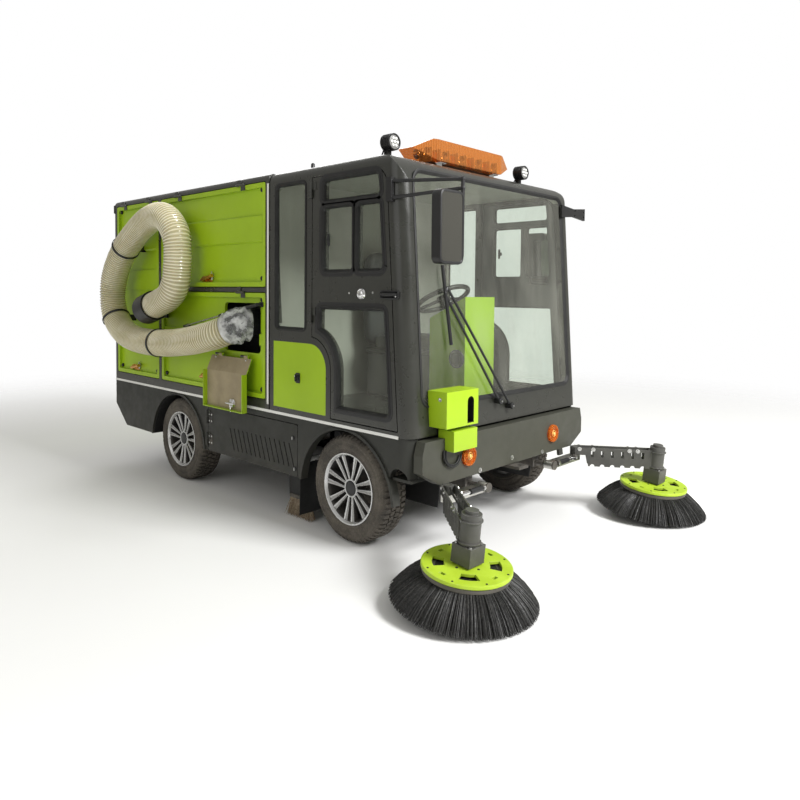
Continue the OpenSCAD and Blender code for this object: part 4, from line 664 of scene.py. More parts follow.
def outlines(node, look_along):
    """Outer outlines of a CAD node's faces that look along a direction, as lists of points."""
    mesh = nodes[node].data
    along = Vector(look_along)
    faces = [f for f in mesh.polygons if f.normal.dot(along) > 0.9]
    spots = {i: tuple(round(c, 5) for c in mesh.vertices[i].co) for f in faces for i in f.vertices}
    edges = {}
    for f in faces:
        ring = [spots[i] for i in f.vertices]
        for a, b in zip(ring, ring[1:] + ring[:1]):
            if (b, a) in edges:
                del edges[b, a]
            else:
                edges[a, b] = True
    after = {a: b for a, b in edges}
    loops = []
    while after:
        start, here = after.popitem()
        loop = [start]
        while here != start and here in after:
            loop.append(here)
            here = after.pop(here)
        loops.append(loop)
    return loops


def part_box(node, test):
    """Corners of the part of a node whose points pass a test."""
    at = nodes[node].matrix_world
    points = np.array([at @ v.co for v in nodes[node].data.vertices if test(at @ v.co)])
    return Vector(points.min(axis=0)), Vector(points.max(axis=0))


trees = {}


def spot(node, at, way, up=(0, 0, 1), sink=0.001):
    """Frame where a ray from a point meets a node, its third axis against the ray."""
    if node not in trees:
        obj = nodes[node]
        points = [obj.matrix_world @ v.co for v in obj.data.vertices]
        trees[node] = BVHTree.FromPolygons(points, [tuple(p.vertices) for p in obj.data.polygons])
    way = Vector(way).normalized()
    place = trees[node].ray_cast(Vector(at), way)[0]
    return facing(place + way * sink, -way, up)


MIRRORED = Matrix.Diagonal((-1, 1, 1, 1))


def on_side(node, side, back, up):
    """Frame on a side of the vehicle, its first axis forward."""
    s = SIDES[side]
    place = spot(node, (bumper_x - back, 2 * s * side_y, up), (0, -s, 0))
    return place @ MIRRORED if s > 0 else place


# Wheels: profiles as (radius, height) from the rim or the tread at the outer wall
TREAD_PITCHES, WHEEL_SIDES = 58, 96
WALL_AT_RIM = ((-0.011, -0.009), (0.001, -0.008), (0.008, -0.003), (0.016, -0.005), (0.022, -0.001),
               (0.042, -0.0002), (0.046, -0.003), (0.058, -0.0035), (0.062, -0.001))
WALL_AT_TREAD = ((-0.026, -0.003), (-0.014, -0.011), (-0.009, -0.026))
SHOULDER_BLOCK = ((-0.011, -0.050), (0, -0.050), (-0.001, -0.026), (-0.006, -0.015), (-0.020, -0.0045),
                  (-0.030, -0.006))
GROOVE_DEEP, GROOVE_HALF, SHOULDER_WIDE = 0.011, 0.003, 0.056
# Shoulder and middle blocks: share of a pitch, offset and skew
BLOCK_ROWS = ((0.62, 0.0, 0.15), (0.74, 0.45, -0.5))
SPOKE_PAIRS, SPOKE_PHASE = 7, 0.25
RIM_LIP = ((0, -0.006), (0, -0.001), (-0.003, 0), (-0.008, -0.001), (-0.012, -0.006), (-0.016, -0.013),
           (-0.021, -0.020), (-0.023, -0.032))
RIM_BACK = ((-0.024, 0.02), (-0.021, 0.004), (-0.006, 0), (0, 0), (0, 0.006), (-0.0125, 0.008))
RIM_SEAT = ((-0.0125, -0.008),)
RIM_BRIGHT = 5
# Spokes: radius (from the rim at the tip), distance from the pair's middle, half width, depth behind the face
SPOKE_ROOTS = ((0.044, 0.0135, 0.0066, 0.024), (0.105, 0.0200, 0.0102, 0.020))
SPOKE_TIP = (-0.019, 0.0292, 0.0148, 0.012)
SPOKE_BEVEL, SPOKE_DROP, SPOKE_DIP, SPOKE_DIP_AT, SPOKE_DEEP = 0.0016, 0.001, 0.0026, 0.40, 0.024
SPOKE_TONES = ["alloy_dark", "alloy", "alloy", "alloy_dull", "alloy", "alloy", "alloy_dark", "alloy_dark"]
HUB_BACK = 0.023
HUB_DISC = ((0, -0.020), (0.052, -0.020), (0.052, -0.004), (0.049, 0), (0.043, -0.0005), (0.041, -0.004),
            (0.039, -0.004), (0.038, 0.001), (0.030, 0.003), (0, 0.004))
HUB_TONES = ["alloy_dark"] * 2 + ["alloy"] * 3 + ["alloy_dark"] + ["black"] * 3


def wheel_place(end, side):
    at = joints[f"wheel_{end}_{side}_spin"]["pos_m"]
    return facing(at, (0, SIDES[side], 0))


def make_tyre(end, side):
    """Tyre with a ribbed sidewall and rows of tread blocks."""
    low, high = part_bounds(f"tyre_{end}_{side}")
    outer, half = (high.z - low.z) / 2, (high.y - low.y) / 2
    rim = (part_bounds(f"rim_{end}_{side}")[1].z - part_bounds(f"rim_{end}_{side}")[0].z) / 2
    place = wheel_place(end, side)
    wall = moved(WALL_AT_RIM, rim, half) + moved(WALL_AT_TREAD, outer, half)
    shape = Shape()
    shape.lathe(wall + [(r, -z) for r, z in wall[::-1]], place, "tyre", WHEEL_SIDES, loop=True)
    base, edge_z = outer - GROOVE_DEEP, half - SHOULDER_WIDE
    middle = [(base, GROOVE_HALF), (outer, GROOVE_HALF), (outer, edge_z), (base, edge_z)]
    sections = (moved(SHOULDER_BLOCK, outer, half), middle)
    for sign in BOTH:
        for section, (share, phase, skew) in zip(sections, BLOCK_ROWS):
            for i in range(TREAD_PITCHES):
                points = []
                for edge in (0, share):
                    for r, z in section:
                        lean = skew * (z - section[0][1]) / half
                        turn = 2 * np.pi * (i + phase + edge + lean + 0.25 * (sign + 1)) / TREAD_PITCHES
                        points.append((r * np.cos(turn), r * np.sin(turn), sign * z))
                shape.add(points, sleeve(2, len(section)), "tyre", place)
    piece(shape, f"tread_{end}_{side}", f"wheel_{end}_{side}", [f"tyre_{end}_{side}"])


def make_rim(end, side):
    """Alloy wheel with pairs of machined spokes, dark pockets and a capped hub."""
    low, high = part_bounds(f"rim_{end}_{side}")
    outer = (high.z - low.z) / 2
    face = max(abs(low.y), abs(high.y)) - abs(joints[f"wheel_{end}_{side}_spin"]["pos_m"][1])
    place = wheel_place(end, side)
    shape = Shape()
    ring = moved(RIM_LIP, outer, face) + moved(RIM_BACK, outer, -face) + moved(RIM_SEAT, outer, face)
    tones = ["alloy"] * RIM_BRIGHT + ["alloy_dark"] * (len(ring) - RIM_BRIGHT)
    shape.lathe(ring, place, tones, WHEEL_SIDES, loop=True)
    rows = (*SPOKE_ROOTS, (outer + SPOKE_TIP[0], *SPOKE_TIP[1:]))
    for pair in range(SPOKE_PAIRS):
        turn = Matrix.Rotation(2 * np.pi * (pair + SPOKE_PHASE) / SPOKE_PAIRS, 4, "Z")
        for s in BOTH:
            points = []
            for r, off, wide, deep in rows:
                half = ((-wide, -SPOKE_DEEP), (-wide, -SPOKE_BEVEL - SPOKE_DROP), (-wide + SPOKE_BEVEL, 0),
                        (-SPOKE_DIP_AT * wide, -SPOKE_DIP))
                section = half + tuple((-across, z) for across, z in half[::-1])
                points += [(r, s * off + across, face - deep + z) for across, z in section]
            tones = SPOKE_TONES * (len(rows) - 1) + ["alloy_dark"] * 2
            shape.add(points, sleeve(len(rows), len(section)), tones, place @ turn)
    shape.lathe(moved(HUB_DISC, 0, face - HUB_BACK), place, HUB_TONES, 48)
    piece(shape, f"alloy_{end}_{side}", f"wheel_{end}_{side}", [f"rim_{end}_{side}"])


for end, side in WHEELS:
    make_tyre(end, side)
    make_rim(end, side)


# Brushes: tufts, then profiles from the disc's rim and from the root or reach of the bristles
TUFTS, TUFT_STRANDS, TUFT_SPREAD, TUFT_FLARE, TUFT_FILL = 104, 54, 0.33, 1.25, 1.4
TUFT_IN, ROOT_DEEP, TIP_DEEP, STRAND_BULGE = 0.014, 0.046, 0.052, 0.030
TUFT_TOP, TUFT_DROP = -0.034, -0.156
TIP_TURN, TIP_SHORT, TIP_LIFT = 0.0045, 0.002, 0.003
STRAND_R = (0.0013, 0.0013, 0.0012, 0.0009)
DISC_SECTORS, DISC_THICK, DISC_RIM, DISC_PHASE = 144, 0.012, 0.016, math.radians(132.5)
DISC_BORE, DISC_LAP = 0.016, 0.004
# Slots of a disc: inner and outer share of its radius, turn in quarter turns, half width in sectors
DISC_SLOT_SHARES = ((0.50, 0.76, 0.0, 7), (0.73, 0.81, 0.5, 2))
DISC_EDGE = ((-0.012, -0.0006), (-0.0035, 0.0), (-0.001, -0.001), (0, -0.0035), (0, -DISC_RIM),
             (-0.012, -DISC_RIM))
# Screws of a disc: share of its radius, count and size
DISC_SCREWS = ((0.92, 8, 0.005), (0.33, 4, 0.006))
# Near-black ring under the disc's rim, a painted shadow line: its bore, lowest height and profile
SHADOW_RING_BORE, SHADOW_RING_LOW = 0.030, -0.026
SHADOW_RING = ((-0.008, -0.0205), (-0.008, -DISC_RIM + 0.001), (-0.014, -DISC_RIM + 0.001), (-0.014, SHADOW_RING_LOW))
HOLDER_OUT = ((-0.004, -0.020), (-0.003, -0.023), (-0.006, -0.038), (-0.012, -0.041))
HOLDER_IN = ((-0.048, -0.041), (-0.050, -0.020))


def brush_place(side):
    joint = joints[f"brush_spin_{side}"]
    return facing(joint["pos_m"], joint["axis"], (1, 0, 0))


def disc_radius(side):
    low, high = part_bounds(f"brush_disc_{side}")
    return (high.y - low.y) / 2


def disc_cells(radii, r):
    """Which cells of a disc's rings and sectors are solid."""
    quarter = DISC_SECTORS // 4
    solid = np.ones((len(radii) - 1, DISC_SECTORS), bool)
    for inner, outer, turn, half in DISC_SLOT_SHARES:
        for i in range(len(radii) - 1):
            if inner * r <= radii[i] + 1e-6 and radii[i + 1] <= outer * r + 1e-6:
                for k in range(-half, half):
                    solid[i, (int(turn * quarter) + k + quarter * np.arange(4)) % DISC_SECTORS] = False
    return solid


def make_disc(side):
    """Brush disc: a plate with four long and four short slots, and a turned rim."""
    r, n = disc_radius(side), DISC_SECTORS
    radii = sorted({share * r for slot in DISC_SLOT_SHARES for share in slot[:2]})
    radii = [DISC_BORE] + radii + [r - DISC_LAP]
    solid = disc_cells(radii, r)
    turns = circle(n) + DISC_PHASE
    points = [(a * np.cos(t), a * np.sin(t), z) for z in (0.0, -DISC_THICK) for a in radii for t in turns]
    low = len(radii) * n
    faces = []
    for i, k in zip(*np.nonzero(solid)):
        m = (k + 1) % n
        a, b, c, d = i * n + k, i * n + m, (i + 1) * n + m, (i + 1) * n + k
        faces += [[a, b, c, d], [low + d, low + c, low + b, low + a]]
        beside = ((i == 0 or not solid[i - 1, k], a, b), (i + 2 == len(radii) or not solid[i + 1, k], c, d),
                  (not solid[i, k - 1], d, a), (not solid[i, m], b, c))
        faces += [[p, q, low + q, low + p] for open_edge, p, q in beside if open_edge]
    used = sorted({p for f in faces for p in f})
    renamed = {p: i for i, p in enumerate(used)}
    shape = Shape()
    place = brush_place(side)
    shape.add([points[p] for p in used], [[renamed[p] for p in f] for f in faces], "lime_disc", place)
    shape.lathe(moved(DISC_EDGE, r), place, "lime_disc", n, loop=True)
    for share, count, size in DISC_SCREWS:
        for at in ringed(place, share * r, count, np.pi / count + DISC_PHASE, -0.0005):
            add_button(shape, at, size, 0.003, "rubber")
    piece(shape, f"slotted_disc_{side}", f"brush_{side}", [f"brush_disc_{side}"])


def make_bristles(side):
    """Side brush: tufts of stiff bristles below a holder ring, with a near-black ring above it that paints the
    shadow line under the disc's rim.
    """
    place = brush_place(side)
    low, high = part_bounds(f"bristles_{side}")
    reach = (high.y - low.y) / 2
    rim = disc_radius(side)
    root = rim - TUFT_IN
    count = TUFTS * TUFT_STRANDS
    pitch = 2 * np.pi / TUFTS
    tuft = np.repeat(np.arange(TUFTS), TUFT_STRANDS)
    depth = np.tile(np.linspace(0, 1, TUFT_STRANDS) ** TUFT_FILL, TUFTS)
    side_step = chance.uniform(-TUFT_SPREAD, TUFT_SPREAD, count)
    at_root = pitch * (tuft + side_step)
    at_tip = pitch * (tuft + TUFT_FLARE * side_step) + chance.normal(0, TIP_TURN, count)
    root_r = root - ROOT_DEEP * depth
    tip_r = reach - TIP_DEEP * depth - np.abs(chance.normal(0, TIP_SHORT, count))
    tip_z = TUFT_DROP + np.abs(chance.normal(0, TIP_LIFT, count))
    steps = np.linspace(0, 1, len(STRAND_R))
    paths = np.empty((count, len(steps), 3))
    for k, t in enumerate(steps):
        bulge = STRAND_BULGE * t * (1 - t)
        r = root_r + (tip_r - root_r) * t + bulge
        a = at_root + (at_tip - at_root) * t
        z = TUFT_TOP + (tip_z - TUFT_TOP) * t + bulge
        paths[:, k] = np.stack((r * np.cos(a), r * np.sin(a), z), axis=1)
    shape = Shape()
    shape.strands(paths, STRAND_R, "bristle", place)
    shadow_ring = [(SHADOW_RING_BORE, SHADOW_RING[0][1]), *moved(SHADOW_RING, rim), (SHADOW_RING_BORE, SHADOW_RING_LOW)]
    holder = moved(HOLDER_OUT, rim) + moved(HOLDER_IN, root)
    filling = [(root - 0.040, TUFT_TOP), (root - 0.012, TUFT_TOP), (reach - 0.035, TUFT_DROP + 0.010),
               (reach - 0.062, TUFT_DROP + 0.010)]
    # near-black rubber ring: painted shadow line under the disc's rim
    shape.lathe(shadow_ring, place, "rubber", 96, loop=True)
    shape.lathe(holder[-1:] + holder[:-1], place, "holder", 96, loop=True)
    shape.lathe(filling, place, "bristle", 64, loop=True)
    piece(shape, f"brush_hair_{side}", f"brush_{side}", [f"bristles_{side}"])


ROLLER_ROWS, ROLLER_STRANDS, ROLLER_LEAN = 14, 210, 1.1
ROLLER_CORE, ROLLER_SHAFT, ROLLER_END, ROLLER_CROWN = 0.075, 0.025, 0.045, 0.002


def make_roller():
    """Roller brush: rows of bristles that wind about a core on a steel shaft."""
    low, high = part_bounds("roller")
    outer, half = (high.z - low.z) / 2, (high.y - low.y) / 2
    joint = joints["roller_spin"]
    place = facing(joint["pos_m"], (0, 1, 0))
    long = half - ROLLER_END
    row, spot_here = np.divmod(np.arange(ROLLER_ROWS * ROLLER_STRANDS), ROLLER_STRANDS)
    along = long * (2 * (spot_here + 0.5) / ROLLER_STRANDS - 1)
    turn = 2 * np.pi * row / ROLLER_ROWS + ROLLER_LEAN * along / long
    n = len(turn)
    ends = []
    for r, loose in ((ROLLER_CORE, 0.01), (outer, 0.05)):
        a = turn + chance.normal(0, loose, n)
        r = r - np.abs(chance.normal(0, 0.1 * loose, n))
        y = np.clip(along + chance.normal(0, loose / 10, n), -long, long)
        ends.append(np.stack((r * np.cos(a), r * np.sin(a), y), axis=1))
    shape = Shape()
    shape.strands(np.stack(ends, axis=1), (0.0022, 0.0012), "bristle_tan", place)
    near = [(0, -half), (ROLLER_SHAFT, -half), (ROLLER_SHAFT, -long), (ROLLER_CORE, -long)]
    core = near + [(ROLLER_CORE + ROLLER_CROWN, 0)] + [(r, -y) for r, y in near[::-1]]
    shape.lathe(core, place, ["steel"] * 2 + ["black"] * 4 + ["steel"] * 2, 32)
    piece(shape, "roller_hair", "roller", ["roller"])


for side in SIDES:
    make_bristles(side)
make_roller()


# Suction hose: points of its middle line as (back from the body's front wall, share of its offset, height)
HOSE_ROUTE = (
    (0.318, 0.54, 1.128), (0.398, 0.83, 1.094), (0.518, 0.985, 1.066), (0.638, 1, 1.043), (0.808, 1, 1.020),
    (0.973, 1, 1.004), (1.128, 1, 0.996), (1.267, 1, 0.994), (1.478, 1, 1.003), (1.670, 1, 1.047),
    (1.818, 1, 1.150), (1.876, 1, 1.286), (1.858, 1, 1.430), (1.783, 1, 1.556), (1.648, 1, 1.680),
    (1.493, 1, 1.770), (1.368, 1, 1.830), (1.257, 1, 1.868), (1.137, 1, 1.886), (1.043, 1, 1.874),
    (0.966, 1, 1.832), (0.903, 1, 1.770), (0.870, 1, 1.706), (0.862, 1, 1.600), (0.872, 1, 1.504),
    (0.890, 1, 1.420), (0.934, 1, 1.358), (1.008, 1, 1.313), (1.098, 1, 1.285), (1.188, 1, 1.261),
    (1.248, 1, 1.245),
)
HOSE_OFFSET, HOSE_R, HOSE_RIB, HOSE_PITCH, HOSE_STEPS, HOSE_SIDES = 0.130, 0.0945, 0.0075, 0.0195, 5, 40
RIB_FLANK, HOSE_DENT, KNOT_STEPS = 0.55, 0.0014, 24


def hose_line():
    """Smooth line through the route, as even steps along its length, and how far along each lies."""
    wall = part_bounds("body_shell")[1].x
    knots = np.array([(wall - back, -side_y - out * HOSE_OFFSET, up) for back, out, up in HOSE_ROUTE])
    ends = np.vstack((knots[:1], knots, knots[-1:]))
    line = []
    for i in range(len(knots) - 1):
        a, b, c, d = ends[i:i + 4]
        for t in np.linspace(0, 1, KNOT_STEPS, endpoint=False):
            line.append((2 * b + (c - a) * t + (2 * a - 5 * b + 4 * c - d) * t ** 2
                         + (3 * b - a - 3 * c + d) * t ** 3) / 2)
    line = np.array(line + [knots[-1]])
    far = np.concatenate(([0], np.cumsum(np.linalg.norm(np.diff(line, axis=0), axis=1))))
    even = np.arange(0, far[-1], HOSE_PITCH / HOSE_STEPS)
    return np.stack([np.interp(even, far, line[:, k]) for k in range(3)], axis=1), even


def make_hose():
    """Clear hose with a wire helix that shows as ribs."""
    line, far = hose_line()
    ways = unit(np.gradient(line, axis=0))
    out = np.tile((0.0, -1.0, 0.0), (len(line), 1))
    out = unit(out - ways * (out * ways).sum(axis=1)[:, None])
    up = np.cross(out, ways)
    turns = circle(HOSE_SIDES)[None]
    wave = np.arange(len(line)) % HOSE_STEPS
    flank = np.where((wave == 1) | (wave == HOSE_STEPS - 1), RIB_FLANK, 0.0)
    rib = np.where(wave == 0, 1.0, flank)[:, None]
    slack = 0.75 + 0.25 * np.sin(5.1 * far + 1.3 * np.sin(13.7 * far))
    dents = np.sin(31 * far[:, None] + 3 * turns) * np.sin(9 * far[:, None] - 2 * turns)
    r = HOSE_R - HOSE_RIB * slack[:, None] * (1 - rib) - np.abs(HOSE_DENT * dents)
    round_about = out[:, None] * np.cos(turns)[:, :, None] + up[:, None] * np.sin(turns)[:, :, None]
    points = line[:, None] + r[:, :, None] * round_about
    tones = ["hose_wire" if k in (0, HOSE_STEPS - 1) else "hose" for k in wave[:-1]]
    tones = [tone for tone in tones for k in range(HOSE_SIDES)] + ["hose"] * 2
    shape = Shape()
    shape.add(points.reshape(-1, 3), sleeve(len(line), HOSE_SIDES), tones)
    piece(shape, "ribbed_hose", "vehicle", ["suction_hose"])


make_hose()

# Seat: pads, their fullness, then base, pan and posts; posts as (from the back, above the cushion's foot)
CUSHION_Z, CUSHION_HIGH, CUSHION_BACK, CUSHION_LAP = 1.000, 0.095, 0.075, 0.004
BACK_THICK, BACK_IN, BACK_UP = 0.110, 0.006, 0.012
PAD_CROWN, PAD_CORNER, PAD_RINGS, PAD_SIDES, PAD_TUCK = 2.6, 3.2, 28, 64, 0.035
BASE_HALF, BASE_ENDS, BASE_DROP, BASE_EDGE = 0.19, (0.01, 0.41), 0.02, 0.02
PAN_HALF, PAN_ENDS, PAN_DROP, PAN_EDGE = 0.21, (0.02, 0.03), 0.03, 0.01
POST_HALF, POST_R, POST_ENDS = 0.12, 0.012, ((0.055, -0.01), (0.05, 0.25))


def cushion(low, high):
    """Crowned pad between two corners: full faces, drawn-in corners and a piped seam round the middle."""
    low, high = np.array(low), np.array(high)
    mid, half = (low + high) / 2, (high - low) / 2

    def full(value, power):
        return np.sign(value) * abs(value) ** power

    points = []
    for i in range(PAD_RINGS + 1):
        lat = np.pi * (i / PAD_RINGS - 0.5)
        z = full(np.sin(lat), 1 / PAD_CROWN)
        wide = max(1e-4, abs(np.cos(lat)) ** (1 / PAD_CROWN))
        for k in range(PAD_SIDES):
            turn = 2 * np.pi * k / PAD_SIDES
            x, y = full(np.cos(turn), 2 / PAD_CORNER), full(np.sin(turn), 2 / PAD_CORNER)
            tuck = 1 - PAD_TUCK * (1 - abs(x * y)) * wide
            spread = (x * wide * tuck, y * wide * tuck, z * (0.86 + 0.14 * wide ** 0.3))
            points.append(mid + half * np.array(spread))
    return points, sleeve(PAD_RINGS + 1, PAD_SIDES)


def make_seat():
    """Driver's seat: padded cushion and back on a moulded base."""
    low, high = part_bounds("seat")
    top = CUSHION_Z + CUSHION_HIGH
    pads = (("seat_cushion", ["seat"], (low.x + CUSHION_BACK, low.y, CUSHION_Z - CUSHION_LAP),
             (high.x, high.y, top)),
            ("seat_back", (), (low.x, low.y + BACK_IN, CUSHION_Z + BACK_UP),
             (low.x + BACK_THICK, high.y - BACK_IN, high.z)))
    for name, replaced, a, b in pads:
        shape = Shape()
        shape.add(*cushion(a, b), "seat")
        pad = piece(shape, name, "vehicle", replaced)
    shape = Shape()
    mid = (low.y + high.y) / 2
    shape.slab((low.x + BASE_ENDS[0], mid - BASE_HALF, low.z),
               (low.x + BASE_ENDS[1], mid + BASE_HALF, CUSHION_Z - BASE_DROP), "interior", BASE_EDGE)
    shape.slab((low.x + PAN_ENDS[0], mid - PAN_HALF, CUSHION_Z - PAN_DROP),
               (high.x - PAN_ENDS[1], mid + PAN_HALF, CUSHION_Z + CUSHION_LAP), "black", PAN_EDGE)
    for s in BOTH:
        post = [(low.x + x, mid + s * POST_HALF, CUSHION_Z + z) for x, z in POST_ENDS]
        shape.tube(post, POST_R, "steel")
    piece(shape, "seat_base", "vehicle", ["seat"])


make_seat()

# Window seals as (inset, height) pairs about a pane's edge and the outer face
SEAL = ((-0.013, -0.003), (-0.013, 0.003), (-0.009, 0.0055), (-0.003, 0.005), (0.003, -0.002),
        (0.010, -0.0115), (0.010, -0.0155), (-0.001, -0.0155))
SCREEN_SEAL = ((-0.012, -0.003), (-0.012, 0.003), (-0.007, 0.0055), (0.000, 0.005), (0.009, -0.0045),
               (0.013, -0.0075), (0.013, -0.0078), (-0.001, -0.0078))
PANE_BAND = ((-0.030, -0.001), (-0.030, 0.0012), (-0.008, 0.0012), (-0.008, -0.001))
SCREEN_PROUD = 0.008


def in_order(loop):
    """The loop counter-clockwise."""
    p = np.array(loop)
    area = (p[:, 0] * np.roll(p[:, 1], -1) - np.roll(p[:, 0], -1) * p[:, 1]).sum()
    return loop if area > 0 else loop[::-1]


def make_seals():
    """Black rubber profiles round every pane."""
    for side, s in SIDES.items():
        place = facing((0, s * side_y, 0), (0, s, 0))
        for node, body, name in ((f"door_glass_{side}", f"door_{side}", f"seal_door_glass_{side}"),
                                 ("cab_glass", "vehicle", f"seal_quarter_{side}")):
            shape = Shape()
            for loop in outlines(node, (0, s, 0)):
                if loop[0][1] * s < side_y - 0.05 or len(loop) < 8:
                    continue
                flat = in_order([(-s * x, z) for x, _, z in loop])
                shape.rim(flat, SEAL, "rubber", place)
                if body != "vehicle":
                    shape.rim(flat, PANE_BAND, "black", place)
            piece(shape, name, body, ())
    screen = max((f for f in nodes["cab_glass"].data.polygons if f.normal.x > 0.9), key=lambda f: f.area)
    lean = screen.normal.copy()
    place = facing(screen.center + lean * SCREEN_PROUD, lean)
    loop = max(outlines("cab_glass", lean), key=lambda points: np.ptp([p[1] for p in points]))
    shape = Shape()
    flat = [tuple((place.inverted() @ Vector(p))[:2]) for p in loop]
    shape.rim(in_order(flat), SCREEN_SEAL, "rubber", place)
    piece(shape, "seal_screen", "vehicle", ())


def line_cab():
    """Pale lining of the cab's roof, pale back wall inside the cab, grey lining of the doors."""
    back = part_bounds("cab_shell")[0].x + 0.15
    paint("cab_shell", "ceiling", lambda c, n: n.z < -0.5 and c.z > roof_z - 0.15)
    paint("cab_shell", "ceiling", lambda c, n: n.x > 0.5 and c.x < back and abs(c.y) < side_y - 0.02)
    for side, s in SIDES.items():
        paint(f"door_{side}", "interior", lambda c, n: n.y * s < -0.5)


make_seals()
line_cab()


# Small fittings
def add_bolt(shape, place, r=0.007, look="steel"):
    """Hexagon head on a washer."""
    shape.lathe([(0, 0), (1.7 * r, 0), (1.7 * r, 0.3 * r), (0, 0.3 * r)], place, look, 20)
    head = [(0, 0.2 * r), (r, 0.2 * r), (r, 0.9 * r), (0.85 * r, 1.1 * r), (0, 1.1 * r)]
    shape.lathe(head, place, look, 6)


def add_button(shape, place, r, high, look):
    """Round head with a soft edge."""
    head = [(0, 0), (r, 0), (r, 0.45 * high), (0.85 * r, 0.82 * high), (0.45 * r, high), (0, high)]
    shape.lathe(head, place, look, 24)


LATCH_SCALE = 1.4
LATCH_LEVER = ((-0.036, -0.004, 0.013), (-0.010, 0, 0.017), (0.030, 0.006, 0.021), (0.074, 0.015, 0.023))
LATCH_HOOK = ((0.048, 0.014, 0.010), (0.062, 0.022, 0.014), (0.052, 0.034, 0.010))


def add_latch(shape, place):
    """Brass toggle latch: base plate, pivot, lever and keeper."""
    place = place @ Matrix.Scale(LATCH_SCALE, 4)
    shape.plate(soft_box(-0.040, 0.046, -0.014, 0.014, 0.006), 0, 0.005, "copper", place, 0.001)
    add_button(shape, shift(place, -0.024, 0), 0.013, 0.017, "copper")
    shape.tube(LATCH_LEVER, (0.0075, 0.0090, 0.0070, 0.0090), "copper", 12, place)
    shape.slab((0.040, -0.006, 0.0), (0.056, 0.026, 0.011), "steel", 0.002, place)
    shape.tube(LATCH_HOOK, 0.003, "steel", 8, place)


LOCK = ((0, 0), (0.029, 0), (0.030, 0.006), (0.026, 0.013), (0.021, 0.011), (0.019, 0.016), (0.012, 0.020),
        (0, 0.021))


def add_lock(shape, place):
    """Round key lock with a turned rim."""
    shape.lathe(LOCK, place, "chrome", 40)
    shape.slab((-0.0015, -0.008, 0.017), (0.0015, 0.008, 0.0215), "black", 0.0004, place)


HANDLE_RIM = ((0, 0), (0, 0.008), (0.005, 0.011), (0.010, 0.005), (0.010, 0))
HANDLE_GRIP = ((-0.052, 0.004, 0.003), (-0.044, 0.003, 0.015), (0, 0.002, 0.018), (0.044, 0.003, 0.015),
               (0.052, 0.004, 0.003))


def add_handle(shape, place):
    """Pull handle in a dished plate."""
    shape.rim(soft_tile(0.066, 0.022, 0.012), HANDLE_RIM, "black", place)
    shape.plate(soft_tile(0.056, 0.013, 0.008), 0, 0.003, "rubber", place)
    shape.tube(HANDLE_GRIP, (0.007, 0.009, 0.0095, 0.009, 0.007), "black", 12, place)
    add_button(shape, shift(place, 0.046, -0.006, 0.004), 0.006, 0.006, "chrome")


def add_hinge(shape, place):
    """Hinge leaf with four screws."""
    shape.plate(soft_tile(0.026, 0.036, 0.004), 0, 0.004, "frame", place, 0.001)
    for x in (-0.014, 0.014):
        for y in (-0.022, 0.022):
            add_button(shape, shift(place, x, y, 0.0035), 0.0065, 0.003, "steel")


def add_turn(shape, place):
    """Quarter-turn lock on a small plate."""
    shape.plate(soft_tile(0.020, 0.030, 0.008), 0, 0.006, "black", place, 0.002)
    add_button(shape, shift(place, 0, 0.002, 0.005), 0.016, 0.012, "black")
    shape.slab((-0.005, -0.018, 0.015), (0.005, 0.024, 0.026), "black", 0.003, place)
    add_button(shape, shift(place, 0, 0.014, 0.025), 0.004, 0.003, "chrome")


# Places on the sides as (back from the bumper face, height)
DOOR_LOCK, DOOR_HANDLE, DOOR_SCREWS = (0.411, 1.358), (0.204, 1.355), ((0.512, 1.362), (0.330, 1.366))
DOOR_PULL, PANE_CATCH, QUARTER_LOCK = (0.337, 1.46), (0.699, 1.653), (0.952, 0.867)
VENT_LOCKS, VENT_HINGES = ((0.998, 0.510), (0.978, 0.330)), ((1.907, 0.363), (1.907, 0.510))
BAY_LATCHES = {"hatch_left_rear": (3.048, 0.760), "hatch_left_upper": (1.979, 1.446),
               "hatch_left_lower": (1.995, 0.783)}
PULL_RIM = ((0, 0), (0, 0.012), (0.008, 0.015), (0.014, 0.004), (0.014, 0))
STOP_IN, STOP_R, HINGE_PROUD = 0.052, 0.015, 0.001
# Pressed band of the tall hatches: lower and upper edge, inset from the hatch's ends, depth of its foot below
# the side, height, slope and corner
BAND_LOW, BAND_HIGH, BAND_IN, BAND_FOOT = 1.665, 1.840, 0.032, 0.0205
BAND_RISE, BAND_SLOPE, BAND_CORNER = 0.0150, 0.012, 0.014


def make_door_trim(side):
    """Lock, handle, screws, catch of the sliding pane and inner pull of a door."""
    door = f"door_{side}"
    shape = Shape()
    add_lock(shape, on_side(door, side, *DOOR_LOCK))
    add_handle(shape, on_side(door, side, *DOOR_HANDLE))
    for at in DOOR_SCREWS:
        add_button(shape, on_side(door, side, *at), 0.006, 0.004, "steel")
    catch = on_side(f"door_glass_{side}", side, *PANE_CATCH)
    shape.slab((-0.009, -0.034, 0), (0.009, 0.034, 0.010), "black", 0.004, catch)
    shape.slab((-0.004, -0.012, 0.008), (0.016, 0.012, 0.018), "black", 0.003, catch)
    pull = spot(door, (bumper_x - DOOR_PULL[0], 0, DOOR_PULL[1]), (0, SIDES[side], 0))
    shape.rim(soft_tile(0.072, 0.030, 0.016), PULL_RIM, "black", pull)
    shape.plate(soft_tile(0.060, 0.018, 0.010), 0, 0.004, "rubber", pull)
    piece(shape, f"door_trim_{side}", door, ())


def make_vent_locks(side):
    """Locks and hinge leaves of a vent door."""
    vent = f"vent_door_{side}"
    shape = Shape()
    for at in VENT_LOCKS:
        place = on_side(vent, side, *at)
        add_button(shape, place, 0.014, 0.007, "black")
        shape.slab((-0.003, -0.009, 0.004), (0.003, 0.009, 0.010), "steel", 0.001, place)
    for at in VENT_HINGES:
        add_hinge(shape, on_side(vent, side, *at))
    piece(shape, f"vent_locks_{side}", vent)


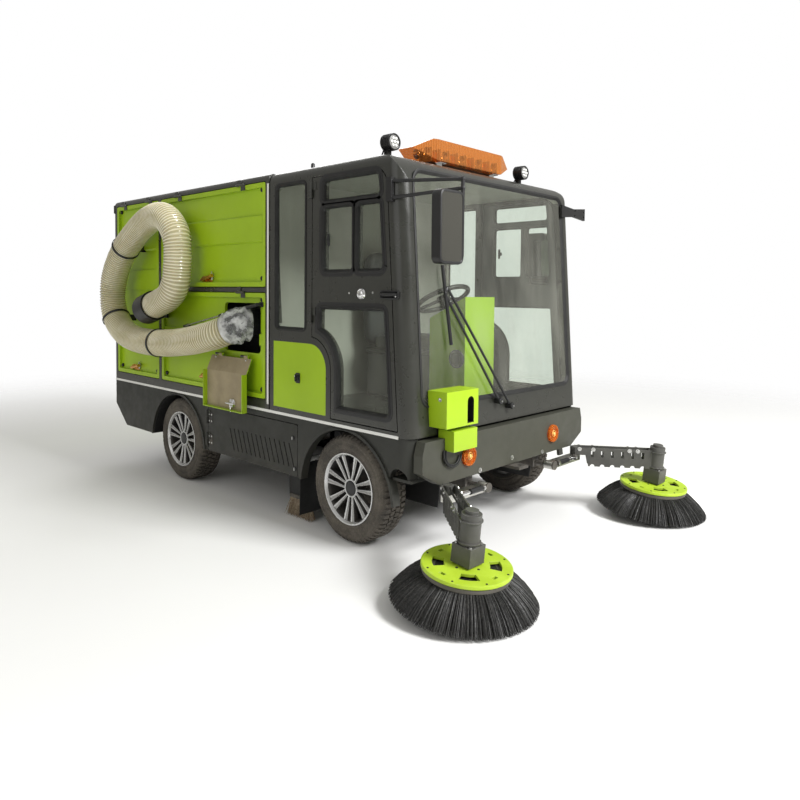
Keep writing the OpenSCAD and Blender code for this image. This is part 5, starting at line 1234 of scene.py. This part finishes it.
def add_band(shape, side, bay):
    """Pressed band across a hatch."""
    s = SIDES[side]
    low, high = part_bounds(bay)
    ends = sorted((-s * (low.x + BAND_IN), -s * (high.x - BAND_IN)))
    place = facing((0, s * (side_y - BAND_FOOT), 0), (0, s, 0))
    outline = soft_box(*ends, BAND_LOW, BAND_HIGH, BAND_CORNER)
    shape.plate(outline, 0, BAND_RISE, "lime", place, BAND_SLOPE)


def add_bay(shape, node, side, bay):
    """Rubber stops, latch and pressed band of a hatch."""
    low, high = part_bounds(bay)
    for x in (low.x + STOP_IN, high.x - STOP_IN):
        for z in (low.z + STOP_IN, high.z - STOP_IN):
            add_button(shape, on_side(node, side, bumper_x - x, z), STOP_R, 0.014, "rubber")
    add_latch(shape, on_side(node, side, *BAY_LATCHES[bay]))
    if high.z > BAND_HIGH:
        add_band(shape, side, bay)


def make_bays(side):
    """Fittings of the fixed hatches on the right or the lifting ones on the left; hinge barrels in grey."""
    sets = [("hatches_right", "hatch_right", "vehicle", BAY_LATCHES)]
    if side == "left":
        sets = [(bay, bay, bay, [bay]) for bay in BAY_LATCHES]
    for node, name, body, bays in sets:
        shape = Shape()
        for bay in bays:
            add_bay(shape, node, side, bay)
        piece(shape, f"{name}_fittings", body)
        paint(node, "grey", lambda c, n: c.y * SIDES[side] > side_y + HINGE_PROUD)


def make_side_fittings(side):
    """Fittings of a side's door, vent door, quarter panel and hatches."""
    make_door_trim(side)
    make_vent_locks(side)
    shape = Shape()
    add_turn(shape, on_side("quarter_panels", side, *QUARTER_LOCK))
    piece(shape, f"quarter_lock_{side}", "vehicle", ())
    make_bays(side)


for side in SIDES:
    make_side_fittings(side)

# Port: ends of the strut as (back from the bumper, out from the side, height), clamp and film
STRUT_ENDS, STRUT_SHARE = ((1.318, 0.030, 1.285), (2.204, 0.030, 1.118)), 0.48
CLIP = ((0.0952, -0.008), (0.0995, -0.008), (0.0995, 0.008), (0.0952, 0.008))
FILM_R, FILM_LEAST, FILM_PROUD, FILM_FOLDS, FILM_ROWS, FILM_SIDES = 0.103, 0.0965, 0.004, 0.016, 16, 40
ELBOW_LONG, FILM_STRAIGHT, FILM_LEAD = 0.100, 0.05, 0.004


def make_port():
    """Gas strut above the hose, and a steel band on the hose's end."""
    ends = [np.array((bumper_x - back, -side_y - out, up)) for back, out, up in STRUT_ENDS]
    shape = Shape()
    mid = ends[0] + (ends[1] - ends[0]) * STRUT_SHARE
    shape.tube([ends[0], mid], 0.0115, "black", 16)
    shape.tube([mid, ends[1]], 0.0055, "steel", 12)
    for at in ends:
        foot = facing((at[0], -side_y + 0.004, at[2]), (0, -1, 0))
        shape.plate(soft_tile(0.022, 0.016, 0.006), 0, 0.008, "black", foot, 0.001)
        add_button(shape, foot, 0.011, 0.042, "black")
    line = hose_line()[0]
    way = Vector(line[1] - line[0]).normalized()
    start = Vector(line[0])
    band = facing(start + way * 0.010, way)
    shape.lathe(CLIP, band, "steel", 48, loop=True)
    shape.slab((-0.012, 0.097, -0.007), (0.012, 0.109, 0.007), "steel", 0.002, band)
    piece(shape, "port_strut", "vehicle")
    make_film(start, way)


def make_film(start, way):
    """Crumpled film over the elbow, from the hose's end to the wall."""
    elbow = start - way * ELBOW_LONG
    inner = Vector((elbow.x + 0.014, -side_y + 0.012, elbow.z))
    a, b, c, d = (np.array(p) for p in (start + way * FILM_LEAD, start - way * FILM_STRAIGHT, elbow, inner))
    path = [a + (b - a) * t for t in np.linspace(0, 1, 5)[:-1]]
    path += [(1 - t) ** 2 * b + 2 * t * (1 - t) * c + t * t * d for t in np.linspace(0, 1, FILM_ROWS - 4)]
    path = np.array(path)
    points = []
    for i, (p, w) in enumerate(zip(path, np.gradient(path, axis=0))):
        place = facing(p, w, (0.2, 0.1, 1))
        ease = min(1.0, i / 2, (len(path) - 1 - i) / 2 + 0.35)
        folds = chance.uniform(-1, 1, FILM_SIDES) * ease
        folds += 0.7 * np.sin(5 * circle(FILM_SIDES) + 0.9 * i) * ease
        for k in range(FILM_SIDES):
            turn = 2 * np.pi * (k + 0.4 * (i % 2)) / FILM_SIDES
            r = max(FILM_LEAST, FILM_R + FILM_PROUD * ease + FILM_FOLDS * 0.5 * folds[k])
            points.append(place @ Vector((r * math.cos(turn), r * math.sin(turn), 0)))
    film = Shape()
    film.add(points, sleeve(len(path), FILM_SIDES), "film")
    piece(film, "port_film", "vehicle")


# Flap: share of its width and height of the latch, bar and key, screws as shares of the width
FLAP_LATCH, FLAP_SCREWS, FLAP_SCREW_DROP = (0.68, 0.048), (0.12, 0.88), 0.030
LATCH_BAR = ((-0.050, -0.002, 0.022), (-0.020, 0, 0.026), (0.030, 0, 0.026), (0.046, 0.002, 0.022))
LATCH_KEY = ((0.0, -0.010, 0.024), (0.004, -0.034, 0.022), (0.001, -0.052, 0.020))


def make_flap_fittings():
    """Tan inner face of the flap with its key latch."""
    low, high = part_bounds("port_flap")
    wide = high.x - low.x
    paint("port_flap", "tan", lambda c, n: n.y < -0.5 and c.y > low.y + 0.012)

    def on_flap(share, z):
        return spot("port_flap", (low.x + share * wide, low.y - 0.2, z), (0, 1, 0))

    shape = Shape()
    at = on_flap(FLAP_LATCH[0], low.z + FLAP_LATCH[1])
    add_lock(shape, at)
    shape.tube(LATCH_BAR, (0.006, 0.008, 0.008, 0.006), "chrome", 12, at)
    shape.tube(LATCH_KEY, 0.0035, "chrome", 8, at)
    for share in FLAP_SCREWS:
        add_button(shape, on_flap(share, high.z - FLAP_SCREW_DROP), 0.007, 0.005, "steel")
    piece(shape, "flap_latch", "port_flap")


make_port()
make_flap_fittings()

# Roof: light bar and work lamps
BAR_CELLS, BAR_SHARE, BAR_FOOT_Y = 9, 0.70, 0.25
DISH = ((0, -0.014), (0.012, -0.010), (0.024, 0.004), (0.030, 0.018), (0.0285, 0.018), (0.022, 0.005),
        (0.011, -0.008), (0, -0.0115))
BEZEL = ((-0.005, 0), (0.002, 0), (0.002, 0.006), (-0.001, 0.009), (-0.005, 0.006))
FIN = ((-0.004, 0), (0.003, 0), (0.003, 0.004), (-0.004, 0.004))
FINS, FIN_FROM, FIN_PITCH = 5, -0.058, 0.011
# Rings of bulbs as (share of the radius, count)
BULBS, BULB_R, LAMP_ABOVE, LAMP_OUT = ((0.0, 1), (0.5, 6)), 0.0078, 0.05, {-1: 0.45, 1: 0.40}
AERIAL = ((0, 0), (0.024, 0), (0.022, 0.008), (0.012, 0.012), (0.011, 0.036), (0.007, 0.041), (0, 0.042))
AERIAL_BACK, AERIAL_SHARE = 0.955, 0.87


def make_bar():
    """Reflectors and dividers in the light bar, and its brackets."""
    paint("amber_lenses", "amber_bar", lambda c, n: c.z > roof_z)
    low, high = part_box("amber_lenses", lambda p: p.z > roof_z)
    mid_x, mid_z = (low.x + high.x) / 2, (low.z + high.z) / 2
    shape = Shape()
    for i in range(BAR_CELLS):
        y = (i - (BAR_CELLS - 1) / 2) * (high.y - low.y) * BAR_SHARE / (BAR_CELLS - 1)
        if i % 2:
            shape.slab((mid_x - 0.034, y - 0.024, low.z + 0.006), (mid_x + 0.034, y + 0.024, mid_z + 0.012),
                       "copper", 0.004)
        else:
            for s in BOTH:
                place = facing((mid_x + s * 0.022, y, mid_z - 0.008), (s, 0, 0))
                shape.lathe(DISH, place, "lamp_glass", 24)
        shape.slab((mid_x - 0.050, y - 0.0015 + 0.033, low.z + 0.006),
                   (mid_x + 0.050, y + 0.0015 + 0.033, high.z - 0.030), "white", 0.0005)
    piece(shape, "bar_reflectors", "vehicle")
    shape = Shape()
    for s in BOTH:
        y = s * BAR_FOOT_Y
        for x, out in ((high.x - 0.012, 1), (low.x + 0.012, -1)):
            inner = x - out * 0.030
            shape.slab((inner, y - 0.028, low.z - 0.010), (x + out * 0.006, y + 0.028, low.z - 0.004),
                       "chrome", 0.001)
            shape.slab((inner, y - 0.024, roof_z), (x - out * 0.024, y + 0.024, low.z - 0.006),
                       "chrome", 0.001)
            add_bolt(shape, facing((x - out * 0.012, y, low.z - 0.004), (0, 0, 1), (1, 0, 0)), 0.006)
    piece(shape, "bar_brackets", "vehicle")


def make_roof_lamps():
    """Bezels, bulbs, fins and cables of the work lamps, and an aerial stub."""
    shape = Shape()
    for s in BOTH:
        low, high = part_box("roof_fittings", lambda p: p.z > roof_z + LAMP_ABOVE and p.y * s > LAMP_OUT[s])
        r = (high.y - low.y) / 2
        place = facing((high.x - 0.0005, (low.y + high.y) / 2, high.z - r), (1, 0, 0))
        face = [(0, 0), (r - 0.004, 0), (r - 0.004, 0.003), (r * 0.6, 0.005), (0, 0.006)]
        shape.lathe(moved(BEZEL, r), place, "black", 40, loop=True)
        shape.lathe(face, place, "lamp_glass", 40)
        for share, count in BULBS:
            for at in ringed(place, share * r, count, 0.0, 0.004):
                add_button(shape, at, BULB_R, 0.006, "white")
        for k in range(FINS):
            shape.lathe(moved(FIN, r, FIN_FROM + FIN_PITCH * k), place, "black", 32, loop=True)
        cable = [(-0.030, -r, -0.045), (-0.012, -r - 0.018, -0.075), (0.0, -0.070, -0.095)]
        shape.tube(cable, 0.004, "rubber", 8, place)
    stub = facing((bumper_x - AERIAL_BACK, -AERIAL_SHARE * side_y, roof_z - 0.001), (0, 0, 1), (1, 0, 0))
    shape.lathe(AERIAL, stub, "black", 24)
    piece(shape, "roof_lamps", "vehicle", ())


# Front: lamp rings, bolts as (y, z), cable loops from the holder's low corner and wiper caps as (y, z)
LAMP_RING = ((-0.006, -0.012), (0.004, -0.012), (0.003, 0.002), (-0.002, 0.004), (-0.006, 0.002))
LAMP_STEPS, STEP_OUTER, STEP_INNER, STEP_SHARE = 4, 0.80, 0.72, 0.2
BUMPER_BOLTS = ((-0.308, 0.412), (-0.009, 0.430), (0.308, 0.412))
WIPER_CAPS = ((0.0129, 0.724), (-0.0950, 0.762))
CABLE_R, CABLE_LOOPS = 0.0055, ((0.0, 0.0), (0.014, 0.016))
SLOT_SIDE, SLOT_HEAD, SLOT_BACK = 0.004, 0.032, 0.006
MIRROR_OUT, MIRROR_LOOKS = 0.12, ((1, "mirror_back"), (-1, "mirror"))
MIRROR_RIM = ((0, -0.001), (0.001, 0.004), (0.008, 0.006), (0.012, 0.003), (0.012, -0.001))
MIRROR_IN, MIRROR_EDGE, MIRROR_LEFT_DROP = 0.001, 0.012, 0.03


def make_front_fittings():
    """Rings of the bumper lamps, bolts, the holder's slot painted dark as painted shade, and lamp cables."""
    shape = Shape()
    low, high = part_box("amber_lenses", lambda p: p.z < 1)
    r = (high.z - low.z) / 2
    for s in BOTH:
        place = facing((high.x - 0.0005, s * (high.y - r), low.z + r), (1, 0, 0))
        shape.lathe(moved(LAMP_RING, r), place, "amber", 48, loop=True)
        for k in range(LAMP_STEPS):
            a, b = r * (STEP_OUTER - STEP_SHARE * k), r * (STEP_INNER - STEP_SHARE * k)
            step = [(b, 0), (a, 0), (a - 0.002, 0.004), (b + 0.001, 0.002)]
            shape.lathe(step, place, "amber_pale" if k > 1 else "amber", 40, loop=True)
        add_button(shape, place, 0.010, 0.006, "amber_pale")
    for y, z in BUMPER_BOLTS:
        add_bolt(shape, spot("bumper", (bumper_x + 0.4, y, z), (-1, 0, 0)), 0.008)
    low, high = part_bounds("tool_holders")
    add_bolt(shape, spot("tool_holders", (bumper_x + 0.015, -side_y, high.z - 0.040), (0, 1, 0)), 0.006)
    openings = frame["record"]["physics"]["openings"]
    (x0, y0, z0), (_, y1, z1) = next(o["box_m"] for o in openings if o["name"] == "tool_slot")
    # walls inside the tool slot and a margin above it in near-black rubber: painted shade of the opening
    paint("tool_holders", "rubber", lambda c, n: x0 - SLOT_BACK < c.x < high.x - 0.002
          and y0 - SLOT_SIDE < c.y < y1 + SLOT_SIDE and z0 - SLOT_SIDE < c.z < z1 + SLOT_HEAD)
    cable = Vector((bumper_x + 0.008, low.y, low.z))
    for drop, wide in CABLE_LOOPS:
        knots = [cable + Vector(p) for p in (
            (0, 0.062 - wide, 0.004), (0.006, 0.040 - wide, -0.050), (0.008, 0.062, -0.088 - drop),
            (0.008, 0.150 + wide, -0.098 - drop), (-0.004, 0.170 + wide, -0.040))]
        shape.tube(bend(knots), CABLE_R, "rubber", 10)
    piece(shape, "front_fittings", "vehicle", ())


def make_wiper_caps():
    """Caps on the pivots of the wiper."""
    shape = Shape()
    for y, z in WIPER_CAPS:
        place = spot("wiper", (bumper_x + 0.3, y, z), (-1, 0, 0))
        add_button(shape, place, 0.019, 0.014, "black")
        add_bolt(shape, shift(place, 0, 0, 0.012), 0.005)
    piece(shape, "wiper_caps", "vehicle", ())


def make_mirrors():
    """Rimmed plates on both faces of the right mirror's head, and plates on the folded left one."""
    shape = Shape()
    mesh = nodes["mirror_right"].data
    for out, look in MIRROR_LOOKS:
        faces = [f for f in mesh.polygons if f.normal.x * out > 0.6 and f.center.x > bumper_x + MIRROR_OUT]
        largest = max(faces, key=lambda f: f.area)
        way = largest.normal.copy()
        turned = facing((0, 0, 0), way)
        flat = [f for f in faces
                if f.normal.dot(way) > 0.999 and abs((f.center - largest.center).dot(way)) < 0.001]
        corners = np.array([turned.inverted() @ mesh.vertices[i].co for f in flat for i in f.vertices])
        wide, tall = np.ptp(corners, axis=0)[:2] / 2
        place = turned @ Matrix.Translation((corners.min(axis=0) + corners.max(axis=0)) / 2)
        shape.rim(soft_tile(wide - MIRROR_IN, tall - MIRROR_IN, 0.030), MIRROR_RIM, "black", place)
        plate = soft_tile(wide - MIRROR_EDGE, tall - MIRROR_EDGE, 0.022)
        shape.plate(plate, -0.001, 0.0025, look, place, 0.001)
    piece(shape, "mirror_faces_right", "vehicle")
    shape = Shape()
    low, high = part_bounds("mirror_left")
    mid = (low + high) / 2
    for out, look in MIRROR_LOOKS:
        place = spot("mirror_left", (mid.x, mid.y + 0.3 * out, mid.z - MIRROR_LEFT_DROP), (0, -out, 0))
        shape.plate(soft_tile(0.072, 0.150, 0.022), 0, 0.003, look, place, 0.001)
    piece(shape, "mirror_face_left", "door_left")


make_bar()
make_roof_lamps()
make_front_fittings()
make_wiper_caps()
make_mirrors()

# Console: rise of its sloped top, dials, switches and the round speaker of each side
SLOPE_RISE, DIAL_AHEAD, DIAL_APART, DIAL_TURN = 0.133, 0.05, 0.07, 0.7
DIAL = ((0, 0), (0.046, 0), (0.046, 0.014), (0.041, 0.017), (0.037, 0.010), (0, 0.010))
DIAL_FACE = ((0, 0.0095), (0.036, 0.0095), (0.036, 0.011), (0, 0.011))
SWITCHES, SWITCH_PITCH, SWITCH_IN = 6, 0.036, 0.05
SPEAKER = ((0, 0), (0.055, 0), (0.055, 0.012), (0.047, 0.016), (0.043, 0.009), (0.030, 0.008), (0.026, 0.012),
           (0.014, 0.013), (0, 0.014))
SPEAKER_IN, SPEAKER_Z = 0.058, 0.975


def make_console_fittings():
    """Dials, switches and round speakers on the console."""
    low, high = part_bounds("console")
    shape = Shape()
    slope = facing((0, 0, 0), (-SLOPE_RISE, 0, high.x - low.x), (1, 0, 0)).to_3x3().to_4x4()
    mid = (low.y + high.y) / 2

    def on_top(x, y):
        return Matrix.Translation(spot("console", (x, y, high.z + 0.3), (0, 0, -1)).translation) @ slope

    for s in BOTH:
        place = on_top((low.x + high.x) / 2 + DIAL_AHEAD, mid + s * DIAL_APART)
        shape.lathe(DIAL, place, "black", 36)
        shape.lathe(DIAL_FACE, place, "white", 36)
        needle = place @ Matrix.Rotation(DIAL_TURN, 4, "Z")
        shape.slab((-0.001, -0.004, 0.011), (0.001, 0.028, 0.013), "amber", 0.0003, needle)
    for k in range(SWITCHES):
        place = on_top(low.x + SWITCH_IN, mid + SWITCH_PITCH * (k - (SWITCHES - 1) / 2))
        shape.slab((-0.013, -0.010, 0), (0.013, 0.010, 0.008), "black", 0.003, place)
    for y, out in ((low.y, -1), (high.y, 1)):
        place = spot("console", (high.x - SPEAKER_IN, y + 0.3 * out, SPEAKER_Z), (0, -out, 0))
        shape.lathe(SPEAKER, place, "black", 40)
    piece(shape, "console_fittings", "vehicle", ())


make_console_fittings()

# Brush arms: motor rings, gearbox bolts, cable as (out from the pin, above the pin or the ridge), arm bolts
MOTOR_RING = ((0.044, 0), (0.052, 0), (0.053, 0.002), (0.053, 0.006), (0.044, 0.008))
MOTOR_RINGS = (0.100, 0.196)
GEARBOX_BOLT, GEARBOX_TOP = 0.040, 0.0915
ARM_CABLE = ((0.080, 0.0), (0.160, 0.004), (0.300, -0.006), (0.400, 0.030))
CABLE_ROOT, GLAND_UP, GLAND_IN = (0.050, 0.020), 0.180, 0.040
ARM_BOLTS, ARM_BOLT_UP = (0.030, 0.115, 0.335, 0.385), 0.014
ROD_END, ROD_AHEAD, ROD_DROP, ROD_SHARE = 0.045, 0.004, 0.012, 0.55


def make_arm_fittings(side):
    """Motor rings, gearbox bolts, cable and bolts of a swing arm."""
    arm = f"swing_arm_{side}"
    place = brush_place(side)
    shape = Shape()
    for z in MOTOR_RINGS:
        shape.lathe(moved(MOTOR_RING, 0, z), place, "motor", 40, loop=True)
    for x in BOTH:
        for y in BOTH:
            add_bolt(shape, shift(place, x * GEARBOX_BOLT, y * GEARBOX_BOLT, GEARBOX_TOP), 0.006)
    pin = Vector(joints[f"brush_swing_{side}"]["pos_m"])
    way = Vector((place.translation.x - pin.x, place.translation.y - pin.y, 0)).normalized()
    ridge = part_box(arm, lambda p: 0.10 < (p - pin).dot(way) < 0.30)[1].z
    knots = [pin + way * CABLE_ROOT[0] + Vector((0, 0, CABLE_ROOT[1]))]
    knots += [pin + way * far + Vector((0, 0, ridge + up - pin.z)) for far, up in ARM_CABLE]
    knots.append(place @ Vector((0, 0, GLAND_UP)) - way * GLAND_IN)
    shape.tube(bend(knots), 0.005, "rubber", 10)
    normal = Vector((-way.y, way.x, 0))
    for out in BOTH:
        for far in ARM_BOLTS:
            at = pin + way * far + normal * out * 0.3
            at.z = pin.z + ARM_BOLT_UP
            add_bolt(shape, spot(arm, at, -normal * out), 0.0075)
    piece(shape, f"arm_fittings_{side}", arm)


def make_lift_rod(side):
    """Lift cylinder with its bright rod, beside the lift arm."""
    s = SIDES[side]
    low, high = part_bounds(f"lift_arm_{side}")
    y0 = joints[f"brush_lift_{side}"]["pos_m"][1] + s * ROD_END
    y1 = joints[f"brush_swing_{side}"]["pos_m"][1] - s * ROD_END
    x, z = high.x + ROD_AHEAD, (low.z + high.z) / 2 - ROD_DROP
    shape = Shape()
    shape.tube([(x, y0, z), (x, y0 + (y1 - y0) * ROD_SHARE, z)], 0.015, "black", 20)
    shape.tube([(x, y0 + (y1 - y0) * (ROD_SHARE - 0.01), z), (x, y1, z)], 0.009, "chrome", 16)
    for y in (y0, y1):
        shape.slab((x - 0.018, y - 0.010, z - 0.016), (x + 0.012, y + 0.010, z + 0.016), "frame", 0.004)
        add_bolt(shape, facing((x + 0.011, y, z), (1, 0, 0)), 0.007)
    piece(shape, f"lift_rod_{side}", f"lift_arm_{side}")


for side in SIDES:
    make_disc(side)
    make_arm_fittings(side)
    make_lift_rod(side)

# Underside: mud flaps, curtains of bristles beside the roller, and liners of the wheel arches
FLAP_LOW, FLAP_HIGH, FLAP_OUT, FLAP_IN, FLAP_BOLTS = 0.060, 0.395, 0.012, 0.175, 3
CURTAIN_IN, CURTAIN_LONG, CURTAIN_TOP, CURTAIN_HAIRS, RAIL_TOP = 0.105, 0.205, 0.122, 460, 0.394
CURTAIN_LEAN, CURTAIN_LOOSE, CURTAIN_LOW = 0.050, (0.007, 0.012, 0.0), 0.003
LINER_Y, LINER_R, LINER_LOW, LINER_NOTCH, LINER_THICK = 0.447, 0.37, -0.10, 0.085, 0.006
LINER_PAST, LINER_STEPS, NOTCH_STEPS, ARCH_HEAD, HOUSE_FROM = 0.27, 33, 13, 0.020, 0.10


def make_flaps():
    """Rubber mud flaps behind the front wheels with their steel strips."""
    shape = Shape()
    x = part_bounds("vent_door_right")[1].x + 0.006
    for s in SIDES.values():
        outer, inner = s * (side_y - FLAP_OUT), s * (side_y - FLAP_IN)
        shape.slab((x, outer, FLAP_HIGH), (x + 0.006, inner, FLAP_LOW), "rubber", 0.002)
        shape.slab((x + 0.005, outer, FLAP_HIGH), (x + 0.009, inner, FLAP_HIGH - 0.030), "steel", 0.001)
        for k in range(FLAP_BOLTS):
            at = (x + 0.008, s * (side_y - 0.035 - 0.055 * k), FLAP_HIGH - 0.015)
            add_bolt(shape, facing(at, (1, 0, 0)), 0.006)
    piece(shape, "mud_flaps", "vehicle", ())


def make_liners():
    """Black splash plates inside the wheel arches, open at the axle, and the rear arches' houses."""
    shape = Shape()
    notch = [(LINER_NOTCH * np.cos(a), LINER_NOTCH * np.sin(a)) for a in np.linspace(np.pi, 0, NOTCH_STEPS)]
    for end, side in WHEELS:
        s = SIDES[side]
        hub = Vector(joints[f"wheel_{end}_{side}_spin"]["pos_m"])
        crown = belt_z - 0.004 - hub.z
        turns = np.linspace(-LINER_PAST, np.pi + LINER_PAST, LINER_STEPS)
        outline = [(LINER_R * np.cos(a), min(LINER_R * np.sin(a), crown)) for a in turns]
        outline += [(-LINER_NOTCH, LINER_LOW), *notch, (LINER_NOTCH, LINER_LOW)]
        shape.plate(outline, -LINER_THICK, 0, "rubber", facing((hub.x, s * LINER_Y, hub.z), (0, s, 0)))
        if end == "rear":
            crown = belt_z - ARCH_HEAD - LINER_R
            thin, inner, outer = LINER_R - LINER_THICK, LINER_Y - LINER_THICK, side_y - 0.004
            section = ((thin, inner), (LINER_R, inner), (LINER_R, outer), (thin, outer))
            points = [(hub.x + r * math.cos(a), s * y, crown + r * math.sin(a))
                      for a in np.linspace(HOUSE_FROM, np.pi - HOUSE_FROM, LINER_STEPS) for r, y in section]
            shape.add(points, sleeve(LINER_STEPS, len(section)), "rubber")
    piece(shape, "arch_liners", "vehicle", ())


def make_curtains():
    """Strips of stiff bristles beside the roller, hung on rubber sheets from rails behind the flaps."""
    shape = Shape()
    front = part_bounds("vent_door_right")[1].x + 0.007
    rear, end, n = front - CURTAIN_LONG, front - 0.004, CURTAIN_HAIRS
    for s in SIDES.values():
        y = s * (side_y - CURTAIN_IN)
        shape.slab((rear, y - 0.010, RAIL_TOP - 0.018), (front, y + 0.010, RAIL_TOP), "frame", 0.002)
        shape.slab((rear, y - 0.003, CURTAIN_TOP), (end, y + 0.003, RAIL_TOP - 0.010), "rubber", 0.001)
        shape.slab((rear, y - 0.011, CURTAIN_TOP - 0.012), (end, y + 0.011, CURTAIN_TOP + 0.012),
                   "frame", 0.003)
        along = chance.uniform(0, 1, n)
        x = rear + 0.006 + along * (CURTAIN_LONG - 0.020)
        root = np.stack((x, y + chance.uniform(-0.007, 0.007, n), np.full(n, CURTAIN_TOP - 0.008)), axis=1)
        tip = root + chance.normal(0, CURTAIN_LOOSE, (n, 3))
        tip[:, 0] += CURTAIN_LEAN * (along - 0.6)
        tip[:, 2] = CURTAIN_LOW + np.abs(chance.normal(0, 0.004, n))
        shape.strands(np.stack((root, tip), axis=1), (0.0021, 0.0012), "bristle_tan")
    piece(shape, "roller_curtains", "vehicle", ())


# Rear: share of a lens that its gap takes, marker lamps, latches and handle of the tailgate
LENS_GAP, MARKER_IN, MARKER_DROP = 0.04, 0.018, 0.060
GATE_LATCH, GRIP_UP = (0.52, 0.075), 0.300
GRIP = ((-0.11, 0, -0.001), (-0.11, 0, 0.018), (-0.10, 0, 0.024), (0.10, 0, 0.024), (0.11, 0, 0.018),
        (0.11, 0, -0.001))


def make_rear_fittings():
    """Lens bands of the tail lamps, marker lamps, tailgate handle, latches and stops."""
    shape = Shape()
    low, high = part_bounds("tail_lamps")
    wide = high.y - part_box("tail_lamps", lambda p: p.y > 0)[0].y
    for s in SIDES.values():
        for k, look in enumerate(("red", "amber", "white")):
            y0, y1 = (high.y - wide * (k + share) / 3 for share in (LENS_GAP, 1 - LENS_GAP))
            shape.slab((low.x - 0.004, s * y0, low.z + 0.006), (low.x + 0.002, s * y1, high.z - 0.006), look)
        x, y, z = rear_x - 0.004, s * (side_y - MARKER_IN), roof_z - MARKER_DROP
        shape.slab((x - 0.012, y - 0.024, z - 0.034), (x + 0.010, y + 0.024, z + 0.034), "black", 0.006)
        add_button(shape, facing((x - 0.011, y, z), (-1, 0, 0)), 0.017, 0.010, "red")
    piece(shape, "rear_lamps", "vehicle", ())
    low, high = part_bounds("tailgate")

    def on_gate(y, z):
        return spot("tailgate", (low.x - 0.3, y, z), (1, 0, 0))

    gate = Shape()
    for s in BOTH:
        add_latch(gate, on_gate(s * GATE_LATCH[0], low.z + GATE_LATCH[1]))
    gate.tube(GRIP, 0.008, "black", 12, on_gate(0, low.z + GRIP_UP))
    for y in (low.y + STOP_IN, high.y - STOP_IN):
        for z in (low.z + STOP_IN, high.z - STOP_IN):
            add_button(gate, on_gate(y, z), STOP_R, 0.010, "rubber")
    piece(gate, "tailgate_fittings", "tailgate")


make_flaps()
make_liners()
make_rear_fittings()
make_curtains()

make_camera()
make_studio()
